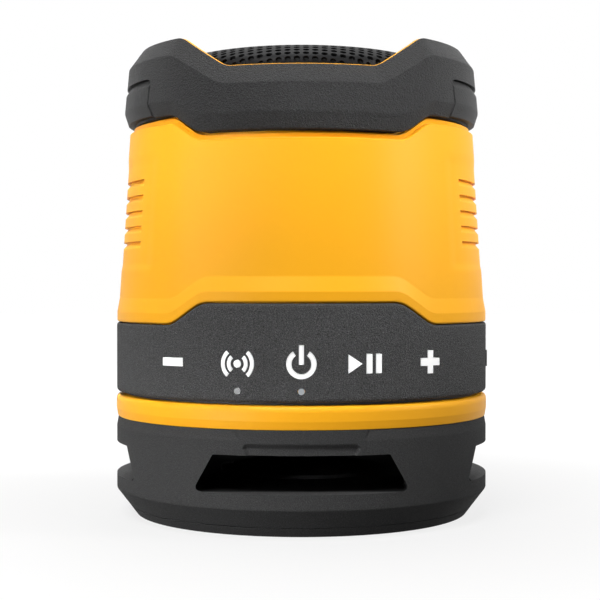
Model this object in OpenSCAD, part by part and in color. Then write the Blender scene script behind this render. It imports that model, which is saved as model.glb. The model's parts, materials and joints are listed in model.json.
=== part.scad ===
// Portable loudspeaker: a round yellow body on a windowed foot, with a rubber collar,
// a rubber control band and a perforated steel dome.
// Millimetres, Z up, origin at the centre of the underside, front towards -Y.

/* [Foot] */
// Largest radius of the body, at the accent ring
body_r = 55; // [53:0.5:60]
// Height of the foot
foot_h = 28.9; // [27:0.2:34]
// How far the foot draws in towards the table
foot_draw = 6; // [4:0.5:8]
// Height of the foot's lower chamfer
foot_chamfer_h = 7.8; // [5:0.2:10]
// Height of the rubber ring under the foot
foot_ring_h = 2.7; // [1.5:0.1:4]
// Thickness of the foot's wall
foot_wall = 10; // [9:0.5:12]
// Height of the foot's floor, which is also the sill of its windows
window_sill = 12; // [10.5:0.1:14]
// Height of a window
window_h = 10.2; // [6:0.1:11]
// Width of a window at its sill
window_sill_w = 58.4; // [44:0.2:60]
// Width of a window at its head
window_head_w = 47.2; // [36:0.2:50]
// How much lower the heads of the two side windows are
side_head_drop = 0.7; // [0:0.1:2]
// Width of the brow over the front and the back window, at its top
brow_w = 36; // [28:0.5:42]
// Height of the chamfer round the top of the foot
foot_top_chamfer_h = 2.8; // [1.5:0.1:3.2]
// Depth of that chamfer
foot_top_chamfer = 0.5; // [0.3:0.1:2]
// Depth of the recess under a brow
brow_recess_d = 0.9; // [0.5:0.1:2]

/* [Accent ring] */
// Height of the accent ring
ring_h = 6.5; // [5:0.1:9]

/* [Control band] */
// Height of the control band at the sides
band_h = 20.6; // [19:0.2:26]
// Extra height of the band at the front and back
band_rise = 6; // [2:0.2:10]
// Thickness of the control band
band_t = 2.7; // [2.2:0.1:3.2]
// Height of the signs above the band's lower edge
sign_rise = 10.7; // [9.5:0.1:12]
// Angle from the front to the two middle signs
sign_step = 18; // [17:0.5:21]
// Angle from the front to the two outer signs
sign_reach = 39.5; // [38:0.5:44]
// Travel of a key
key_travel = 0.7; // [0.3:0.1:0.9]
// Side of the square plate behind a key's sign
key_plate = 11; // [10:0.2:12]
// Height of the indicator lights above the band's lower edge
light_rise = 3.5; // [3:0.1:4]
// Diameter of an indicator light
light_d = 1.7; // [1.2:0.1:2.4]

/* [Port] */
// Width of the port door along the body, from its free end to its hinge
door_w = 20.6; // [18:0.2:24]
// Height of the port door
door_h = 12; // [11:0.2:14]
// Distance that the door's free end reaches to the front of the port
door_front = 8.6; // [8.4:0.1:9.6]
// Diameter of the door's hinge pins
door_pin_d = 1.2; // [0.8:0.1:1.4]

/* [Shell] */
// Height of the yellow barrel between the band's sides and the collar's sides
barrel_h = 56.05; // [50:0.5:70]
// How far the barrel stands back from the body's radius, over the flare
barrel_step = 0.45; // [0.3:0.05:2]
// Taper of the barrel, from over the flare to under the collar
barrel_taper = 3.65; // [1.6:0.05:4]
// Thickness of the shell under the collar
shell_wall = 1.5; // [1.3:0.1:2]
// Height of the flare's upright edge over the band
flare_edge_h = 2.9; // [1.5:0.1:5]
// Height of the flare's bevel
flare_bevel_h = 4; // [2:0.1:6]
// Height of the drawn-in strip under the collar
strip_h = 1.7; // [1:0.1:3]
// How far the neck steps in under the collar
neck_step = 3.7; // [3.3:0.1:4.1]
// Thickness of the neck
neck_t = 1.5; // [1.2:0.1:1.8]
// Number of grip grooves on each side
groove_count = 5; // [1:1:6]
// Pitch of the grip grooves
groove_pitch = 4.37; // [3:0.05:5]
// Height of one grip groove
groove_h = 1.5; // [0.8:0.1:2]
// Depth of one grip groove
groove_depth = 0.9; // [0.4:0.1:1.1]

/* [Collar] */
// Height of the collar's sides
collar_h = 23; // [21:0.2:26]
// Drop of the collar's lower edge at the front and back
low_dip = 4.5; // [1:0.1:7]
// Drop of the collar's rim at the front and back
rim_dip = 9.2; // [3:0.1:11]
// Height of the collar's lower bevel
low_bevel_h = 5.2; // [3:0.1:7]
// Height of the collar's upper bevel
rim_bevel_h = 5.2; // [3:0.1:7]
// How far the collar stands out from the barrel, at the top of its lower bevel
collar_proud = 2.1; // [1.1:0.1:3]
// Width of an inset pad
pad_w = 60; // [50:0.5:66]
// Height of an inset pad
pad_h = 11.1; // [8:0.1:13]

/* [Grille] */
// Radius of the grille's rolled shoulder
shoulder_r = 3.2; // [2.6:0.1:5]
// Tilt of the sheet where the shoulder meets the dome's bend
shoulder_tilt = 32; // [20:1:40]
// Radius of the dome's bend
bend_r = 31; // [20:1:40]
// Tilt of the sheet where the bend meets the dome's flat crown
crown_tilt = 3; // [2:0.5:6]
// Width of the grille's edge outside the driver's opening
grille_edge_w = 5; // [4:0.1:6]
// Thickness of the steel
grille_t = 0.8; // [0.6:0.1:1.2]
// Pitch of the holes, rows along X and Y
hole_pitch = 5.1; // [4:0.1:8]
// Diameter of a hole
hole_d = 3.5; // [1.2:0.1:3.8]

/* [Driver] */
// Room between the driver's flange and the edge of the grille's dome
flange_margin = 2.4; // [1.4:0.1:4]
// Width of the driver's rim outside its cone
cone_margin = 13.5; // [13:0.5:16]
// Travel of the cone each way
cone_travel = 1.5; // [0.5:0.1:2]
// Radius of the magnet
magnet_r = 18; // [15:0.5:19]
// Height of the magnet
magnet_h = 10; // [6:0.5:12]

/* [Passive radiator] */
// Room between the radiator's frame and the wall of the foot
radiator_margin = 7; // [5:0.5:9]
// Width of the radiator's frame and surround outside its plate
radiator_rim = 12; // [11:0.5:16]
// Travel of the plate each way
radiator_travel = 2; // [0.5:0.1:2.5]

/* [Battery] */
// Diameter of a cell
cell_d = 18.4; // [16:0.1:18.6]
// Length of a cell
cell_l = 65; // [55:0.5:66]

/* [Hidden] */

// Clearances
seat_gap = 0.05;
slide_gap = 0.15;
fit_gap = 0.3;
free_gap = 0.6;
swing_gap = 0.75;
// Shadow line between two pieces of the casing
line_gap = 0.25;
// Overshoot of a cutter past the face that it cuts
over = 1;
// How far behind the shell's inner face a key's or a light's cut starts
cut_back = 3;
$fn = 72;

// Heights, from the table up
ring_top = foot_h + ring_h;
band_z = ring_top + line_gap;
band_side_z = band_z + band_h;
collar_z = band_side_z + barrel_h;
rim_z = collar_z + collar_h;
front_rim_z = rim_z - rim_dip;
seal_t = 0.7;
shell_z = ring_top + seat_gap + seal_t + seat_gap;

// Radii, from the body's largest one inwards
rubber_inset = 0.1;
band_back_gap = 0.2;
flare_inset = 0.2;
foot_r = body_r - rubber_inset;
foot_rest_r = body_r - foot_draw;
foot_hollow_r = body_r - foot_wall;
band_r = body_r - rubber_inset;
band_inner_r = band_r - band_t;
recess_r = band_inner_r - band_back_gap;
flare_r = body_r - flare_inset;
barrel_low_r = body_r - barrel_step;
barrel_top_r = barrel_low_r - barrel_taper;
shell_inner_r = barrel_top_r - shell_wall;
collar_r = barrel_top_r + collar_proud;
neck_r = barrel_top_r - neck_step;
neck_inner_r = neck_r - neck_t;
grille_r = neck_inner_r - fit_gap;
dome_edge_r = grille_r - grille_edge_w;
flange_r = dome_edge_r - flange_margin;
cone_r = flange_r - cone_margin;
radiator_r = foot_hollow_r - radiator_margin;
radiator_plate_r = radiator_r - radiator_rim;
barrel_slope = barrel_taper / barrel_h;
function barrel_r(z) = barrel_top_r + (collar_z - z) * barrel_slope;

// Where the three contours rise from the front to the sides, in degrees from the front
band_slope = [29.4, 40.2];
low_slope = [31.5, 42.5];
rim_slope = [25.5, 43.8];
slope_round = 2.5;

// A ramp from 0 at the first angle to 1 at the second, with rounded corners
function ramp_area(t, a, b) =
    t <= a ? 0 : t >= b ? (b - a) / 2 + t - b : (t - a) * (t - a) / (2 * (b - a));
function soft_ramp(t, span) = (ramp_area(t + slope_round, span[0], span[1])
    - ramp_area(t - slope_round, span[0], span[1])) / (2 * slope_round);
// Angle from the nearer of front and back
function folded(az) = asin(abs(sin(az)));
function band_line(az) = band_side_z + band_rise * (1 - soft_ramp(folded(az), band_slope));
function low_line(az) = collar_z - low_dip * (1 - soft_ramp(folded(az), low_slope));
function rim_line(az) = rim_z - rim_dip * (1 - soft_ramp(folded(az), rim_slope));

// Angles of the sections of a ring: close together where the contours slope
quarter = concat([for (a = [0:6:18]) a], [for (a = [22.5:2.5:47.5]) a], [for (a = [53:6:89]) a]);
last = len(quarter) - 1;
azimuths = concat(quarter, [90], [for (i = [last:-1:1]) 180 - quarter[i]],
    [180], [for (i = [1:last]) 180 + quarter[i]], [270], [for (i = [last:-1:1]) 360 - quarter[i]]);

// A closed ring through one section of [radius, height] points for each angle
module ring_loft(sections) {
    rows = len(sections);
    cols = len(sections[0]);
    points = [for (i = [0:rows - 1]) for (p = sections[i])
        [p[0] * sin(azimuths[i]), -p[0] * cos(azimuths[i]), p[1]]];
    faces = [for (i = [0:rows - 1]) for (j = [0:cols - 1])
        let (n = (i + 1) % rows, k = (j + 1) % cols)
        each [[i * cols + j, i * cols + k, n * cols + k], [i * cols + j, n * cols + k, n * cols + j]]];
    polyhedron(points = points, faces = faces, convexity = 8);
}

// Turns a shape drawn in X (to the right) and Y (up) to face outward at an angle from the front,
// with its back at the given distance from the axis
module facing(az, distance, z) {
    rotate([0, 0, az]) translate([0, -distance, z]) rotate([90, 0, 0]) children();
}

module tube(outer, inner, low, high) {
    translate([0, 0, low]) difference() {
        cylinder(r = outer, h = high - low);
        translate([0, 0, -over]) cylinder(r = inner, h = high - low + 2 * over);
    }
}

module rounded(w, h, r) {
    union() {
        square([w - 2 * r, h], center = true);
        square([w, h - 2 * r], center = true);
        for (x = [-1, 1]) for (y = [-1, 1])
            translate([x * (w / 2 - r), y * (h / 2 - r)]) circle(r, $fn = 24);
    }
}

// Copies at four angles, starting from the given one
module four(first) {
    for (k = [0:3]) rotate([0, 0, first + 90 * k]) children();
}

// Head of a pan head screw, by the diameter of its thread
function head_d(d) = 1.9 * d;
function head_h(d) = 0.7 * d;

// A pan head screw standing on its head, shaft upwards
module screw(d, length) {
    slot_l = head_d(d) / 1.5;
    slot_w = d / 5;
    difference() {
        union() {
            cylinder(d = head_d(d), h = head_h(d), $fn = 24);
            translate([0, 0, head_h(d)]) cylinder(d = d, h = length, $fn = 24);
        }
        for (turn = [0, 90]) rotate([0, 0, turn]) translate([-slot_l / 2, -slot_w / 2, -over])
            cube([slot_l, slot_w, over + head_h(d) / 2]);
    }
}

// Foot
foot_floor_t = 3;
foot_skirt_r = foot_hollow_r - foot_floor_t;
foot_ring_w = 11;
base_screw_inset = 2.5;
base_screw_axis_r = foot_hollow_r + base_screw_inset;
base_screw_d = 2.5;
base_screw_l = 24;
base_screw_rise = 4;
base_screw_z = foot_ring_h + base_screw_rise;
// Radius of the foot's chamfer over the rubber ring
foot_seam_r = foot_rest_r + (foot_r - foot_rest_r) * foot_ring_h / foot_chamfer_h;

module window_outline(drop) {
    polygon([[-window_sill_w / 2, window_sill], [window_sill_w / 2, window_sill],
        [window_head_w / 2, window_head - drop], [-window_head_w / 2, window_head - drop]]);
}

// The two ends of the slanted cheeks that a brow has, and the undercut below it
window_head = window_sill + window_h;
brow_t = 3.5;
brow_z = foot_h - brow_t;
brow_lift = 1.8;
brow_foot_z = window_head + brow_lift;
brow_slant = 0.55;

function brow_half(z) = brow_w / 2 - (foot_h - z) * brow_slant;

module brow_outline() {
    polygon([[-brow_half(foot_h + over), foot_h + over], [brow_half(foot_h + over), foot_h + over],
        [brow_half(brow_foot_z), brow_foot_z], [-brow_half(brow_foot_z), brow_foot_z]]);
}

// Cutter that draws the face in by the chamfer's depth, ramped off at the given height
module foot_top_bevel() {
    rotate_extrude() polygon([[foot_r, foot_h - foot_top_chamfer_h],
        [foot_r - foot_top_chamfer, foot_h + over / 10], [foot_r + over, foot_h + over / 10],
        [foot_r + over, foot_h - foot_top_chamfer_h]]);
}

module brow_recess() {
    low = window_head - over;
    rotate_extrude() polygon([[foot_r + over, brow_z], [foot_r, brow_z],
        [foot_r - brow_recess_d, brow_foot_z], [foot_r - brow_recess_d, low], [foot_r + over, low]]);
}

module brow_recess_outline() {
    half = brow_half(brow_foot_z);
    top_half = half - 2 * brow_slant * (brow_z - brow_foot_z);
    low = window_head - over;
    polygon([[-top_half, brow_z], [top_half, brow_z], [half, brow_foot_z],
        [half + over, low], [-half - over, low], [-half, brow_foot_z]]);
}

module through_front() {
    rotate([90, 0, 0]) linear_extrude(2 * body_r, center = true) children();
}

module base_foot() {
    color([0.16, 0.16, 0.16]) difference() {
        rotate_extrude($fn = 120) polygon([[foot_skirt_r, foot_ring_h + seat_gap],
            [foot_seam_r, foot_ring_h + seat_gap], [foot_r, foot_chamfer_h], [foot_r, foot_h],
            [foot_hollow_r, foot_h], [foot_hollow_r, window_sill], [0, window_sill],
            [0, window_sill - foot_floor_t], [foot_skirt_r, window_sill - foot_floor_t]]);
        through_front() window_outline(0);
        rotate([0, 0, 90]) through_front() window_outline(side_head_drop);
        difference() {
            foot_top_bevel();
            through_front() brow_outline();
        }
        intersection() {
            brow_recess();
            through_front() brow_recess_outline();
        }
        four(45) translate([0, -base_screw_axis_r, 0]) {
            cylinder(d = base_screw_d + 2 * fit_gap, h = foot_h + over, $fn = 24);
            cylinder(d = head_d(base_screw_d) + 2 * fit_gap,
                h = base_screw_z + head_h(base_screw_d), $fn = 24);
        }
        translate([0, 0, window_sill - foot_floor_t - over])
            cylinder(d = deflector_pin_d + 2 * fit_gap, h = foot_floor_t + 2 * over, $fn = 24);
    }
}

module foot_ring() {
    inner_r = foot_rest_r - foot_ring_w;
    color([0.1, 0.1, 0.1]) rotate_extrude($fn = 120) polygon([[inner_r, 0], [foot_rest_r, 0],
        [foot_seam_r, foot_ring_h], [inner_r, foot_ring_h]]);
}

deflector_inset = 2;
deflector_r = radiator_plate_r - deflector_inset;
deflector_h = 7.5;
deflector_edge = 1;
deflector_pin_d = 5;

module sound_deflector() {
    steps = 6;
    color([0.13, 0.13, 0.13]) union() {
        translate([0, 0, window_sill + seat_gap]) rotate_extrude() polygon([[0, 0], [deflector_r, 0],
            for (k = [0:steps]) [deflector_r * (1 - k / steps),
                deflector_edge + (deflector_h - deflector_edge) * pow(k / steps, 1.4)]]);
        translate([0, 0, window_sill - foot_floor_t])
            cylinder(d = deflector_pin_d, h = foot_floor_t + deflector_edge, $fn = 24);
    }
}

module base_screws() {
    color("silver") four(45) translate([0, -base_screw_axis_r, base_screw_z])
        screw(base_screw_d, base_screw_l);
}

// Lower chassis: the accent ring, the floor that carries the radiator, and the spigot in the shell
floor_t = 2.3;
floor_top = foot_h + floor_t;
roll_margin = 1;
radiator_inner_r = radiator_plate_r + 2 * radiator_travel + roll_margin;
floor_hole_r = radiator_inner_r;
spigot_r = shell_inner_r - fit_gap;
spigot_t = 4;
spigot_h = 2.4;
spigot_top = ring_top + spigot_h;
ring_chamfer = 0.4;
ring_chamfer_h = 2.3;
post_azimuths = [62, 118, 242, 298];
post_r = 3.6;
post_inset = 3.2;
post_axis_r = shell_inner_r - post_inset;
post_h = 6.4;
post_top = ring_top + post_h;
chassis_screw_d = 3;
chassis_screw_l = 18;

module lower_chassis() {
    color([0.96, 0.66, 0.09]) difference() {
        union() {
            rotate_extrude($fn = 120) polygon([[floor_hole_r, foot_h + seat_gap],
                [body_r - ring_chamfer, foot_h + seat_gap], [body_r, foot_h + ring_chamfer_h],
                [body_r, ring_top], [spigot_r, ring_top], [spigot_r, spigot_top],
                [spigot_r - spigot_t, spigot_top], [spigot_r - spigot_t, floor_top],
                [floor_hole_r, floor_top]]);
            for (az = post_azimuths) intersection() {
                rotate([0, 0, az]) translate([0, -post_axis_r, foot_h + seat_gap])
                    cylinder(r = post_r, h = post_top - foot_h - seat_gap);
                cylinder(r = spigot_r, h = rim_z);
            }
            translate([usb_board_x, -usb_board_w / 2 + usb_ledge_inset, floor_top - over])
                cube([usb_board_l - usb_ledge_inset, usb_board_w - 2 * usb_ledge_inset,
                    usb_board_z - seat_gap - floor_top + over]);
        }
        for (az = post_azimuths) rotate([0, 0, az]) translate([0, -post_axis_r, 0]) {
            cylinder(d = chassis_screw_d + 2 * fit_gap, h = rim_z, $fn = 24);
            cylinder(d = head_d(chassis_screw_d) + 2 * fit_gap,
                h = foot_h + head_h(chassis_screw_d) + fit_gap, $fn = 24);
        }
        four(45) translate([0, -base_screw_axis_r, 0]) cylinder(d = base_screw_d + 2 * seat_gap,
            h = base_screw_z + head_h(base_screw_d) + base_screw_l + free_gap, $fn = 24);
        four(0) translate([0, -radiator_screw_r, 0])
            cylinder(d = radiator_screw_d + 2 * seat_gap, h = floor_top + over, $fn = 24);
        for (side = [-1, 1]) translate([side * cell_x, cell_y, 0])
            cylinder(d = holder_pin_d + 2 * fit_gap, h = floor_top + over, $fn = 24);
    }
}

module shell_seal() {
    color([0.1, 0.1, 0.1]) tube(recess_r, shell_inner_r, ring_top + seat_gap, ring_top + seat_gap + seal_t);
}

module chassis_screws() {
    color("silver") for (az = post_azimuths) rotate([0, 0, az])
        translate([0, -post_axis_r, foot_h + fit_gap]) screw(chassis_screw_d, chassis_screw_l);
}

// Main shell
ledge_drop = 14.3;
ledge_z = front_rim_z - ledge_drop;
ledge_w = 3.2;
ledge_r = neck_inner_r - ledge_w;
ledge_t = 3;
boss_r = 3.8;
boss_z = post_top + seat_gap;
boss_h = 16;
shoulder_gap = 0.05;
strip_depth = 0.9;
strip_bevel = 0.2;
// The neck stands over the collar's rim at the front and back, and under it at the sides
neck_lip = 0.2;
neck_fade = [44, 50];
function neck_line(az) = rim_line(az) + neck_lip * (1 - 2 * soft_ramp(folded(az), neck_fade));

function shell_section(az) = let (
    flare_z = band_line(az) + line_gap,
    bevel_z = flare_z + flare_edge_h,
    low_z = bevel_z + flare_bevel_h,
    top_z = low_line(az) - shoulder_gap,
    strip_z = top_z - strip_h)
    [[recess_r, shell_z], [recess_r, flare_z], [flare_r, flare_z], [flare_r, bevel_z],
     [barrel_r(low_z), low_z], [barrel_r(strip_z), strip_z],
     [barrel_r(strip_z) - strip_depth, strip_z + strip_bevel],
     [barrel_r(top_z) - strip_depth, top_z], [neck_r, top_z],
     [neck_r, neck_line(az)], [neck_inner_r, neck_line(az)],
     [neck_inner_r, ledge_z], [ledge_r, ledge_z], [ledge_r, ledge_z - ledge_t],
     [shell_inner_r, ledge_z - ledge_t - (shell_inner_r - ledge_r)], [shell_inner_r, shell_z]];

// Grip: a shallow field with grooves on each side
grip_half = 38;
groove_half = 31;
grip_depth = 0.35;
groove_drop = 16.3;
groove_top_z = collar_z - groove_drop;
groove_slope_h = 0.3;
grip_margin = 6.5;

module side_sector(half) {
    for (side = [0, 180]) rotate([0, 0, side - half]) rotate_extrude(angle = 2 * half) children();
}

module grip_cuts() {
    low = groove_top_z - (groove_count - 1) * groove_pitch - grip_margin;
    high = groove_top_z + grip_margin;
    side_sector(grip_half) polygon([[barrel_r(low) - grip_depth, low], [barrel_r(high) - grip_depth, high],
        [barrel_r(high) + over, high], [barrel_r(low) + over, low]]);
    side_sector(groove_half) for (k = [0:groove_count - 1]) {
        z = groove_top_z - k * groove_pitch;
        inner = barrel_r(z) - grip_depth;
        foot = z - groove_h / 2 - groove_slope_h;
        polygon([[inner + over, z + groove_h / 2], [inner + over, foot], [inner, foot],
            [inner - groove_depth, z + groove_h / 4], [inner - groove_depth, z + groove_h / 2]]);
    }
}

module main_shell() {
    color([0.96, 0.66, 0.09]) difference() {
        union() {
            ring_loft([for (az = azimuths) shell_section(az)]);
            for (az = post_azimuths) rotate([0, 0, az]) translate([0, -post_axis_r, boss_z])
                cylinder(r = boss_r, h = boss_h, $fn = 32);
            port_cup();
        }
        grip_cuts();
        for (az = post_azimuths) rotate([0, 0, az]) translate([0, -post_axis_r, boss_z - over])
            cylinder(d = chassis_screw_d + 2 * seat_gap, h = chassis_screw_l, $fn = 24);
        for (az = key_azimuths) facing(az, shell_inner_r - cut_back, sign_z)
            linear_extrude(body_r) square(key_plate + 2 * key_side_gap, center = true);
        for (az = light_azimuths) facing(az, shell_inner_r - cut_back, light_z)
            cylinder(d = light_d + 2 * slide_gap, h = body_r, $fn = 24);
        port_recess();
    }
}

// Collar with its two inset pads
collar_inner_r = neck_r + slide_gap;
collar_lean = 1.1;
collar_mid_r = collar_r - collar_lean;
collar_rim_r = neck_r + fit_gap;
collar_tip_out = 0.2;
function collar_tip_r(az) = barrel_r(low_line(az)) + collar_tip_out;
collar_tip_side_r = collar_tip_r(90);
collar_tip_w = 0.6;
collar_tip_h = 0.5;

function collar_section(az) = let (low = low_line(az), rim = rim_line(az))
    [[collar_inner_r, low], [collar_tip_r(az) - collar_tip_w, low],
     [collar_tip_r(az), low + collar_tip_h], [collar_r, low + low_bevel_h],
     [collar_mid_r, rim - rim_bevel_h], [collar_rim_r, rim], [collar_inner_r, rim]];

pad_proud = 0.15;
pad_t = 2;
pad_bevel = 1;
pad_slot = 0.6;
pad_side_gap = 0.4;
pad_rise = 0.55;
pad_low = collar_z + pad_rise;
pad_top = pad_low + pad_h;
pad_corner = 2.5;
// Angle of the ring that a pad is cut from
pad_sector = 120;
pad_shoulder_h = 2;

function collar_side_r(z) = z < collar_z + low_bevel_h
    ? collar_tip_side_r + (collar_r - collar_tip_side_r)
        * (z - collar_z - collar_tip_h) / (low_bevel_h - collar_tip_h)
    : collar_r + (collar_mid_r - collar_r) * (z - collar_z - low_bevel_h)
        / (collar_h - low_bevel_h - rim_bevel_h);

module pad_outline(gap, slot) {
    half = pad_w / 2 + gap;
    inner = half - pad_corner;
    low = pad_low - 2 * over;
    top = pad_top + slot;
    union() {
        translate([-half, low]) square([2 * half, top - low - pad_corner]);
        translate([-inner, low]) square([2 * inner, top - low]);
        for (side = [-1, 1]) translate([side * inner, top - pad_corner]) circle(pad_corner, $fn = 32);
    }
}

module pad_profile(outward, inward, low_gap, top_gap) {
    bevel_z = collar_z + low_bevel_h;
    high = pad_top + top_gap;
    low = pad_low - low_gap;
    polygon([[collar_side_r(low) - pad_t - inward, low], [collar_side_r(low) + outward, low],
        [collar_r + outward, bevel_z],
        [collar_side_r(pad_top - pad_shoulder_h) + outward, pad_top - pad_shoulder_h],
        [collar_side_r(high) + outward - pad_bevel * (1 - sign(top_gap)), high],
        [collar_side_r(high) - pad_t - inward, high]]);
}

module pad_shape(side, side_gap, back_gap, outward, low_gap, top_gap) {
    intersection() {
        rotate([0, 0, 90 - side * 90 - pad_sector / 2]) rotate_extrude(angle = pad_sector, $fn = 120)
            pad_profile(outward, back_gap, low_gap, top_gap);
        rotate([90, 0, 90]) linear_extrude(2 * body_r, center = true) pad_outline(side_gap, top_gap);
    }
}

module top_bumper() {
    color([0.17, 0.17, 0.17]) difference() {
        ring_loft([for (az = azimuths) collar_section(az)]);
        for (side = [-1, 1]) pad_shape(side, pad_side_gap, slide_gap, over, over, pad_slot);
    }
}

module bumper_pad_left() { color([0.15, 0.15, 0.15]) pad_shape(-1, 0, 0, pad_proud, 0, 0); }
module bumper_pad_right() { color([0.15, 0.15, 0.15]) pad_shape(1, 0, 0, pad_proud, 0, 0); }

// Grille: a perforated dome with a flat crown, a bend, a rolled shoulder and an upright skirt
baffle_t = 4;
baffle_z = ledge_z;
baffle_top = baffle_z + baffle_t;
skirt_lift = 0.5;
skirt_top = front_rim_z + skirt_lift;
skirt_z = baffle_top + seat_gap;

// Point of an arc in the sheet's section, by the tilt of the sheet
function on_arc(centre, r, tilt) = centre + r * [sin(tilt), cos(tilt)];

shoulder_centre = [grille_r - shoulder_r, skirt_top];
bend_centre = on_arc(shoulder_centre, shoulder_r - bend_r, shoulder_tilt);
bend_out_r = on_arc(bend_centre, bend_r, shoulder_tilt)[0];
crown_edge_r = on_arc(bend_centre, bend_r, crown_tilt)[0];
crown_r = crown_edge_r / sin(crown_tilt);
crown_centre = on_arc(bend_centre, bend_r - crown_r, crown_tilt);
dome_steps = 6;

// The sheet's section from the middle outwards, at a depth under its outer face
function dome_line(depth) = concat(
    [for (k = [0:dome_steps - 1]) on_arc(crown_centre, crown_r - depth, crown_tilt * k / dome_steps)],
    [for (k = [0:dome_steps - 1])
        on_arc(bend_centre, bend_r - depth, crown_tilt + (shoulder_tilt - crown_tilt) * k / dome_steps)],
    [for (k = [0:dome_steps])
        on_arc(shoulder_centre, shoulder_r - depth, shoulder_tilt + (90 - shoulder_tilt) * k / dome_steps)]);

function backwards(list) = [for (k = [len(list) - 1:-1:0]) list[k]];
function dome_tilt(r) = r < crown_edge_r ? asin(r / crown_r) : asin((r - bend_centre[0]) / bend_r);
function dome_z(r) = r < crown_edge_r ? on_arc(crown_centre, crown_r, dome_tilt(r))[1]
    : on_arc(bend_centre, bend_r, dome_tilt(r))[1];

field_margin = 0.2;
field_r = bend_out_r - field_margin - hole_d / 2;
hole_steps = ceil(field_r / hole_pitch);
hole_spots = [for (i = [-hole_steps:hole_steps]) for (j = [-hole_steps:hole_steps])
    if (norm([i, j]) * hole_pitch < field_r) [i, j] * hole_pitch];

module grille() {
    color([0.2, 0.2, 0.2]) difference() {
        rotate_extrude($fn = 120) polygon(concat(dome_line(0), [[grille_r, skirt_z],
            [grille_r - grille_t, skirt_z]], backwards(dome_line(grille_t))));
        for (spot = hole_spots) rotate([0, 0, atan2(spot[1], spot[0])])
            translate([norm(spot), 0, dome_z(norm(spot))]) rotate([0, dome_tilt(norm(spot)), 0])
                cylinder(d = hole_d, h = 4 * grille_t, center = true, $fn = 24);
    }
}

module grille_ring() {
    color([0.15, 0.15, 0.15]) tube(grille_r - grille_t - fit_gap, dome_edge_r,
        baffle_top + seat_gap, skirt_top - seat_gap);
}

cloth_t = 0.4;
cloth_gap = 0.2;
cloth_hem_h = 4;
cloth_hem_r = dome_edge_r - free_gap;

module dust_cloth() {
    depth = grille_t + cloth_gap;
    hem_top = dome_z(cloth_hem_r) - (depth + cloth_t / 2) / cos(dome_tilt(cloth_hem_r));
    color([0.08, 0.08, 0.08]) union() {
        intersection() {
            rotate_extrude($fn = 120)
                polygon(concat(dome_line(depth), backwards(dome_line(depth + cloth_t))));
            cylinder(r = cloth_hem_r, h = 2 * dome_z(0), $fn = 120);
        }
        tube(cloth_hem_r, cloth_hem_r - cloth_t - cloth_gap, skirt_top - cloth_hem_h, hem_top);
    }
}

// Control band with its keys and lights
key_azimuths = [-sign_reach, -sign_step, 0, sign_step, sign_reach];
light_azimuths = [-sign_step, 0];
sign_z = band_z + sign_rise;
light_z = band_z + light_rise;
band_round = 1;
pocket_depth = 1.1;
pocket_n = band_inner_r + pocket_depth;
key_side_gap = 0.4;
plate_t = 1.2;
plate_n = pocket_n - fit_gap - plate_t;
plunger_d = 3.2;

function band_section(az) = let (top = band_line(az))
    [[band_inner_r, band_z], [band_r - band_round, band_z], [band_r, band_z + band_round],
     [band_r, top - band_round], [band_r - band_round, top], [band_inner_r, top]];

module ring_arc(outer, stroke, start, end) {
    steps = 6;
    reach = 2 * outer;
    intersection() {
        difference() {
            circle(outer, $fn = 40);
            circle(outer - stroke, $fn = 40);
        }
        polygon(concat([[0, 0]], [for (k = [0:steps]) let (a = start + (end - start) * k / steps)
            reach * [cos(a), sin(a)]]));
    }
}

// Sizes of the five signs
minus_w = 7.4;
minus_h = 2.2;
plus_w = 7;
plus_h = 6.2;
plus_stroke = 2;
power_r = 3.9;
power_stroke = 1.2;
power_gap_angle = 35;
power_bar_w = 1.1;
power_bar_l = 5;
power_bar_rise = 2.4;
play_w = 3.8;
play_h = 5;
play_x = -2.8;
pause_w = 1.6;
pause_h = 5.1;
pause_x = 1.1;
pause_pitch = 2.7;
wave_dot_r = 1;
wave_stroke = 1;
wave_r = 2.9;
wave_pitch = 1.7;
wave_half_angle = 48;

// A bar widened by the given clearance
module sign_bar(w, h, grow) {
    square([w + 2 * grow, h + 2 * grow], center = true);
}

// The five signs, each widened by the given clearance
module sign_minus(grow) {
    sign_bar(minus_w, minus_h, grow);
}

module sign_plus(grow) {
    sign_bar(plus_w, plus_stroke, grow);
    sign_bar(plus_stroke, plus_h, grow);
}

module sign_power(grow) {
    widen = asin(grow / power_r);
    ring_arc(power_r + grow, power_stroke + 2 * grow, 90 + power_gap_angle - widen,
        450 - power_gap_angle + widen);
    translate([0, power_bar_rise]) sign_bar(power_bar_w, power_bar_l, grow);
}

module sign_play_pause(grow) {
    tip = 1.8 * grow;
    translate([play_x, 0]) polygon([[-play_w / 2 - grow, -play_h / 2 - tip], [play_w / 2 + tip, 0],
        [-play_w / 2 - grow, play_h / 2 + tip]]);
    for (k = [0, 1]) translate([pause_x + k * pause_pitch, 0]) sign_bar(pause_w, pause_h, grow);
}

// Radio waves on both sides of a dot
module sign_pairing(grow) {
    circle(wave_dot_r + grow, $fn = 24);
    for (turn = [0, 180]) for (k = [0, 1]) {
        r = wave_r + k * wave_pitch;
        half = wave_half_angle + asin(grow / r);
        ring_arc(r + grow, wave_stroke + 2 * grow, turn - half, turn + half);
    }
}

module sign(index, grow) {
    if (index == 0) sign_minus(grow);
    if (index == 1) sign_pairing(grow);
    if (index == 2) sign_power(grow);
    if (index == 3) sign_play_pause(grow);
    if (index == 4) sign_plus(grow);
}

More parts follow.
